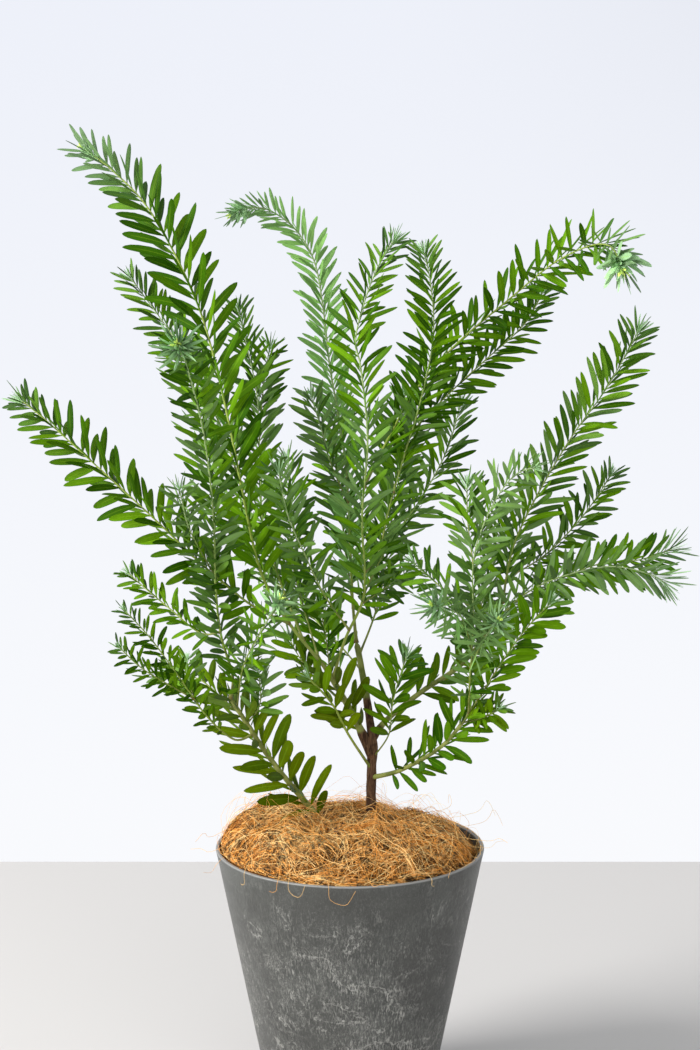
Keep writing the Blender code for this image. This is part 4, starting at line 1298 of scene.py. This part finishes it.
class ACACIA_OT_mulch(bpy.types.Operator):
    """Heap the coir over the root ball and lay its fibres"""
    bl_idname = "acacia.mulch"
    bl_label = "Coir mulch"

    # Height of the arcs in each layer of the mat
    LAYERS = (0.0012, 0.0028, 0.0050)
    # The core's rings and corners in each, and how far it lies under the heap's surface
    RINGS, SIDES = 34, 128
    CREST_SINK, SINK = 0.0012, 0.0014
    LOOSE = 620
    CHIPS = 22
    CHIP_SIDES = 7
    # How far a hanging fibre stands off the wall
    STAND_OFF = 0.0018

    def execute(self, context):
        look = context.scene.acacia_mulch
        materials = frame["nodes"]["root_ball"].data.materials
        materials.clear()
        materials.append(soil_finish())
        self.heap(look)
        strand = fibre_finish(look)
        for n, layer in enumerate(self.LAYERS):
            self.mat_layer(look, strand, n, layer)
        self.locks(look, strand)
        self.loose_fibres(look, strand)
        self.overhanging(look, strand)
        self.chips()
        return {"FINISHED"}

    def heap(self, look):
        """The matted core: a fine surface a little inside the solid heap."""
        edge = MOUTH_RADIUS - WALL_CLEAR
        bm = bmesh.new()
        rows = [[bm.verts.new((0, 0, heap_height(0, 0) - self.CREST_SINK))]]
        for i in range(1, self.RINGS + 1):
            row = []
            for turn in turns(self.SIDES):
                x, y = on_circle(edge * i / self.RINGS, turn)
                rough = noise.fractal(Vector((x, y, 0)) * 160, 0.8, 2.0, 4) * 0.0016
                height = heap_height(x, y) - self.SINK + rough
                row.append(bm.verts.new((*inside_wall(x, y, height), height)))
            rows.append(row)
        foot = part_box("coir_mulch")[0].z
        inner = edge - 0.2 * (RIM_HEIGHT - foot)
        rows.append([bm.verts.new((*on_circle(inner, turn), foot)) for turn in turns(self.SIDES)])
        skin(bm, rows, downwards=True)
        bm.faces.new(list(reversed(rows[-1])))
        heap = linked("coir_heap", bm, heap_finish(look))
        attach(heap, BODY)
        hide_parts("coir_mulch")

    def mat_layer(self, look, strand, number, layer):
        """One layer of lying fibres, bright or dull; the lower layers are darker, as painted shade
        under the layers above.
        """
        rng = random.Random(SEEDS["mat"] + number)
        strands = Strands(8)
        reach = MOUTH_RADIUS - 0.001
        # Of each sort: thickness and tone, from and to
        bright = ((0.9, 1.5), (0.6, 1.0))
        dull = ((0.55, 1.1), (0.05, 0.34 + 0.09 * number))
        for _ in range(round(look.strands * (0.6 + 0.2 * number))):
            start = Vector(somewhere(rng, reach))
            heading = flow(*start) + rng.gauss(0, 0.45)
            if rng.random() < 0.2:
                heading = rng.uniform(0, math.tau)
            points = strands.wander(rng, start, heading, rng.gauss(0, 0.08),
                                    rng.uniform(0.025, 0.06), reach,
                                    layer * rng.uniform(0.1, 1.3), 0.11)
            # Lower layers have lower dull tones and fewer bright strands: painted shade under the
            # layers above.
            thick, tones = bright if rng.random() < 0.19 + 0.14 * number else dull
            radius = look.strand_radius * rng.uniform(*thick)
            tone = rng.uniform(*tones)
            # Painted shade: strands that start near the wall get darker tones.
            tone *= 1 - 0.55 * max(0.0, start.length / reach - 0.90) / 0.10
            strands.lay(points, radius, tone, rng.random(), 1.0)
        self.finish_piece(strands.make(f"coir_mat_{number + 1}", strand))

    def locks(self, look, strand):
        """Locks of fibre that run side by side in low arcs over the mat."""
        rng = random.Random(SEEDS["locks"])
        strands = Strands(10)
        reach = MOUTH_RADIUS - 0.002
        for _ in range(look.locks):
            centre = Vector(somewhere(rng, reach * 0.96))
            heading = flow(*centre) + rng.gauss(0, 0.6)
            curl = rng.gauss(0, 0.08)
            arch = rng.uniform(0.002, 0.0065)
            length = rng.uniform(0.035, 0.070)
            brightness = rng.uniform(0.30, 1.0)
            for _ in range(rng.randrange(10, 30)):
                start = centre + Vector((rng.gauss(0, 0.0032), rng.gauss(0, 0.0032)))
                points = strands.wander(rng, start, heading + rng.gauss(0, 0.13), curl, length,
                                        reach, arch * rng.uniform(0.4, 1.2), 0.06)
                tone = clamp(brightness + rng.gauss(0, 0.16))
                radius = look.strand_radius * rng.uniform(0.7, 1.45)
                strands.lay(points, radius, tone, rng.random(), 0.8)
        self.finish_piece(strands.make("coir_locks", strand))

    def loose_fibres(self, look, strand):
        """Longer fibres that stand off the heap in arcs."""
        rng = random.Random(SEEDS["loose"])
        strands = Strands(16)
        for n in range(self.LOOSE):
            start = Vector(somewhere(rng, MOUTH_RADIUS))
            tall = n % 7 == 0
            arch = rng.uniform(0.012, 0.028) if tall else rng.uniform(0.003, 0.011)
            thin = rng.uniform(0.42, 0.62) if tall else rng.uniform(0.5, 0.95)
            reach = (RIM_RADIUS if n % 4 == 0 else MOUTH_RADIUS) - 0.001
            points = strands.wander(rng, start, rng.uniform(0, math.tau), rng.gauss(0, 0.07),
                                    rng.uniform(0.04, 0.09), reach, arch, 0.09)
            strands.lay(points, look.strand_radius * thin, rng.uniform(0.3, 1.0), rng.random(), 0)
        self.finish_piece(strands.make("coir_loose", strand))

    def overhanging(self, look, strand):
        """Stray fibres that hang over the lip in loops, and others that stand out from it."""
        rng = random.Random(SEEDS["strays"])
        noise.seed_set(SEEDS["strays"])
        strands = Strands(20, 4)
        for bearing, width, drop, back in LOOPS:
            first = math.radians(bearing)
            last = first + width / RIM_RADIUS
            knots = [self.on_heap(first - 0.05, -0.018), self.at_wall(first, 0.0014, -0.0004)]
            for share, fall in ((0.12, 0.75), (0.65, 1)):
                knots.append(self.at_wall(first + share * (last - first), -drop * fall,
                                          self.STAND_OFF))
            knots.append(self.at_wall(last, -drop * (1 - back), self.STAND_OFF))
            self.add_stray(strands, knots, look.strand_radius * rng.uniform(0.65, 0.85), rng)
        for bearing, reach, rise, sweep in FREE_ENDS:
            first = math.radians(bearing)
            knots = [self.on_heap(first, -0.03),
                     self.at_wall(first + 0.3 * sweep, max(rise * 0.6, 0.002), reach * 0.15),
                     self.at_wall(first + 0.7 * sweep, rise, reach * 0.6),
                     self.at_wall(first + sweep, rise * rng.uniform(0.2, 0.9), reach)]
            self.add_stray(strands, knots, look.strand_radius * rng.uniform(0.6, 0.9), rng)
        self.finish_piece(strands.make("coir_strays", strand))

    def at_wall(self, bearing, height, clear):
        """A point beside the planter's wall: height over the lip, clear of the wall outwards."""
        radius = RIM_RADIUS + clear
        if height < 0:
            radius += height * (RIM_RADIUS - BASE_RADIUS) / RIM_HEIGHT
        return Vector((*on_circle(radius, bearing), RIM_HEIGHT + height))

    def on_heap(self, bearing, clear):
        """A point of the heap's surface beside the planter's wall."""
        point = self.at_wall(bearing, 0.0, clear)
        point.z = heap_height(point.x, point.y)
        return point

    def add_stray(self, strands, knots, radius, rng):
        """One stray fibre through its knots, with a slight waver."""
        curve = evenly(spline(knots), 0.0012)
        share = (len(curve) - 1) / strands.steps
        sway = Vector((rng.uniform(0, 9), 0, 0))
        points = []
        for i in range(strands.steps + 1):
            point = curve[round(i * share)]
            points.append(point + 0.0006 * noise.noise_vector(point * 110 + sway))
        strands.lay(points, radius, rng.uniform(0.45, 0.95), rng.random(), 0)

    def chips(self):
        """A few dark crumbs of bark caught in the fibres."""
        rng = random.Random(SEEDS["chips"])
        shell = Shell()
        for _ in range(self.CHIPS):
            x, y = somewhere(rng, RIM_RADIUS - 0.012)
            centre = Vector((x, y, heap_height(x, y) + rng.uniform(0.002, 0.006)))
            spin = Matrix.Rotation(rng.uniform(0, 6.3), 3, Vector((rng.random(), 1, rng.random())))
            size = Vector((rng.uniform(0.002, 0.0045), rng.uniform(0.0008, 0.002), 0.0008))
            corners = []
            for level in (-1, 1):
                for turn in turns(self.CHIP_SIDES):
                    far = rng.uniform(0.6, 1.1)
                    corner = Vector((size.x * far * math.cos(turn), size.y * far * math.sin(turn),
                                     size.z * level * rng.uniform(0.5, 1.0)))
                    corners.append(centre + spin @ corner)
            shell.add(corners, tube_faces(2, self.CHIP_SIDES), 0)
        self.finish_piece(shell.make("bark_chips", chip_finish()))

    def finish_piece(self, piece):
        """Let a piece of the mulch ride with the planter."""
        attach(piece, BODY)


class ACACIA_OT_plant(bpy.types.Operator):
    """Grow the trunk, the limbs and every leafy shoot"""
    bl_idname = "acacia.plant"
    bl_label = "Plant"

    # Corners of the thin core that keeps leaves off a stem
    CORE = (Vector((0.0006, 0, 0)), Vector((-0.0006, 0, 0)), Vector((0, 0.0006, 0)))

    def execute(self, context):
        look = context.scene.acacia_leaf
        bark = bark_finish(context.scene.acacia_wood)
        leaf = leaf_finish(look)
        routes = trace_routes()
        air = Air()
        heap = bpy.data.objects["coir_heap"]
        air.fixed.append(BVHTree.FromObject(heap, context.evaluated_depsgraph_get()))
        air.fixed += [self.core_tree(route) for route in routes.values()]
        for n, (name, route) in enumerate(routes.items()):
            woody = name in WOODY
            rng = random.Random(SEEDS["stems"] + n)
            shell = Shell("blade", "leaf", "stem")
            sides = WOODY_SIDES if woody else GREEN_SIDES
            corners, notes = stem_tube(route, sides, 0.35 if woody else 0.25,
                                       0.22 if name == "trunk" else 0.08, n * 7.3)
            shell.add(corners, tube_faces(route.last + 1, sides), 1, stem=notes)
            if route.stem.leaf:
                own = air.fixed.pop(1 + n)
                grow_leaves(route, shell, air, look, rng)
                air.fixed.insert(1 + n, own)
                air.close_shoot()
                if not woody:
                    grow_bud(route, shell, rng)
            piece = shell.make(name + "_grown", leaf, bark)
            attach(piece, BODY)
            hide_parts(name)
            "leaf" if name not in WOODY else slot_of(name)
        return {"FINISHED"}

    def core_tree(self, route):
        """A search tree of the thin core along a stem."""
        corners = [point + corner for point in route.points[::2] for corner in self.CORE]
        rings = len(corners) // len(self.CORE)
        return BVHTree.FromPolygons(corners, tube_faces(rings, len(self.CORE)))


def slot_of(name):
    """The record's material slot of a solid."""
    for row in frame["record"]["subparts"]:
        if row["node"] == name:
            return row["material_slot"]
    raise RuntimeError(f"the record has no slot for {name}")


class ACACIA_PT_panel(bpy.types.Panel):
    """Buttons that build the potted acacia step by step"""
    bl_idname = "ACACIA_PT_panel"
    bl_label = "Potted Acacia"
    bl_space_type = "VIEW_3D"
    bl_region_type = "UI"
    bl_category = "Acacia"

    def draw(self, context):
        layout = self.layout
        for name, _ in LOOKS:
            group = getattr(context.scene, name)
            box = layout.box()
            for prop in group.bl_rna.properties:
                if not prop.is_readonly and prop.identifier not in ("name", "rna_type"):
                    box.prop(group, prop.identifier)
        for operator in OPERATORS:
            layout.operator(operator.bl_idname)


LOOKS = (("acacia_stage", StageLook), ("acacia_planter", PlanterLook),
         ("acacia_mulch", MulchLook), ("acacia_wood", WoodLook), ("acacia_leaf", LeafLook))
OPERATORS = (ACACIA_OT_stage, ACACIA_OT_planter, ACACIA_OT_mulch, ACACIA_OT_plant)


def register():
    for name, look in LOOKS:
        bpy.utils.register_class(look)
        setattr(bpy.types.Scene, name, bpy.props.PointerProperty(type=look))
    for operator in OPERATORS:
        bpy.utils.register_class(operator)
    bpy.utils.register_class(ACACIA_PT_panel)


def unregister():
    bpy.utils.unregister_class(ACACIA_PT_panel)
    for operator in reversed(OPERATORS):
        bpy.utils.unregister_class(operator)
    for name, look in reversed(LOOKS):
        delattr(bpy.types.Scene, name)
        bpy.utils.unregister_class(look)


def main():
    register()
    bpy.ops.acacia.stage()
    bpy.ops.acacia.planter()
    bpy.ops.acacia.mulch()
    bpy.ops.acacia.plant()


if __name__ == "__main__":
    main()
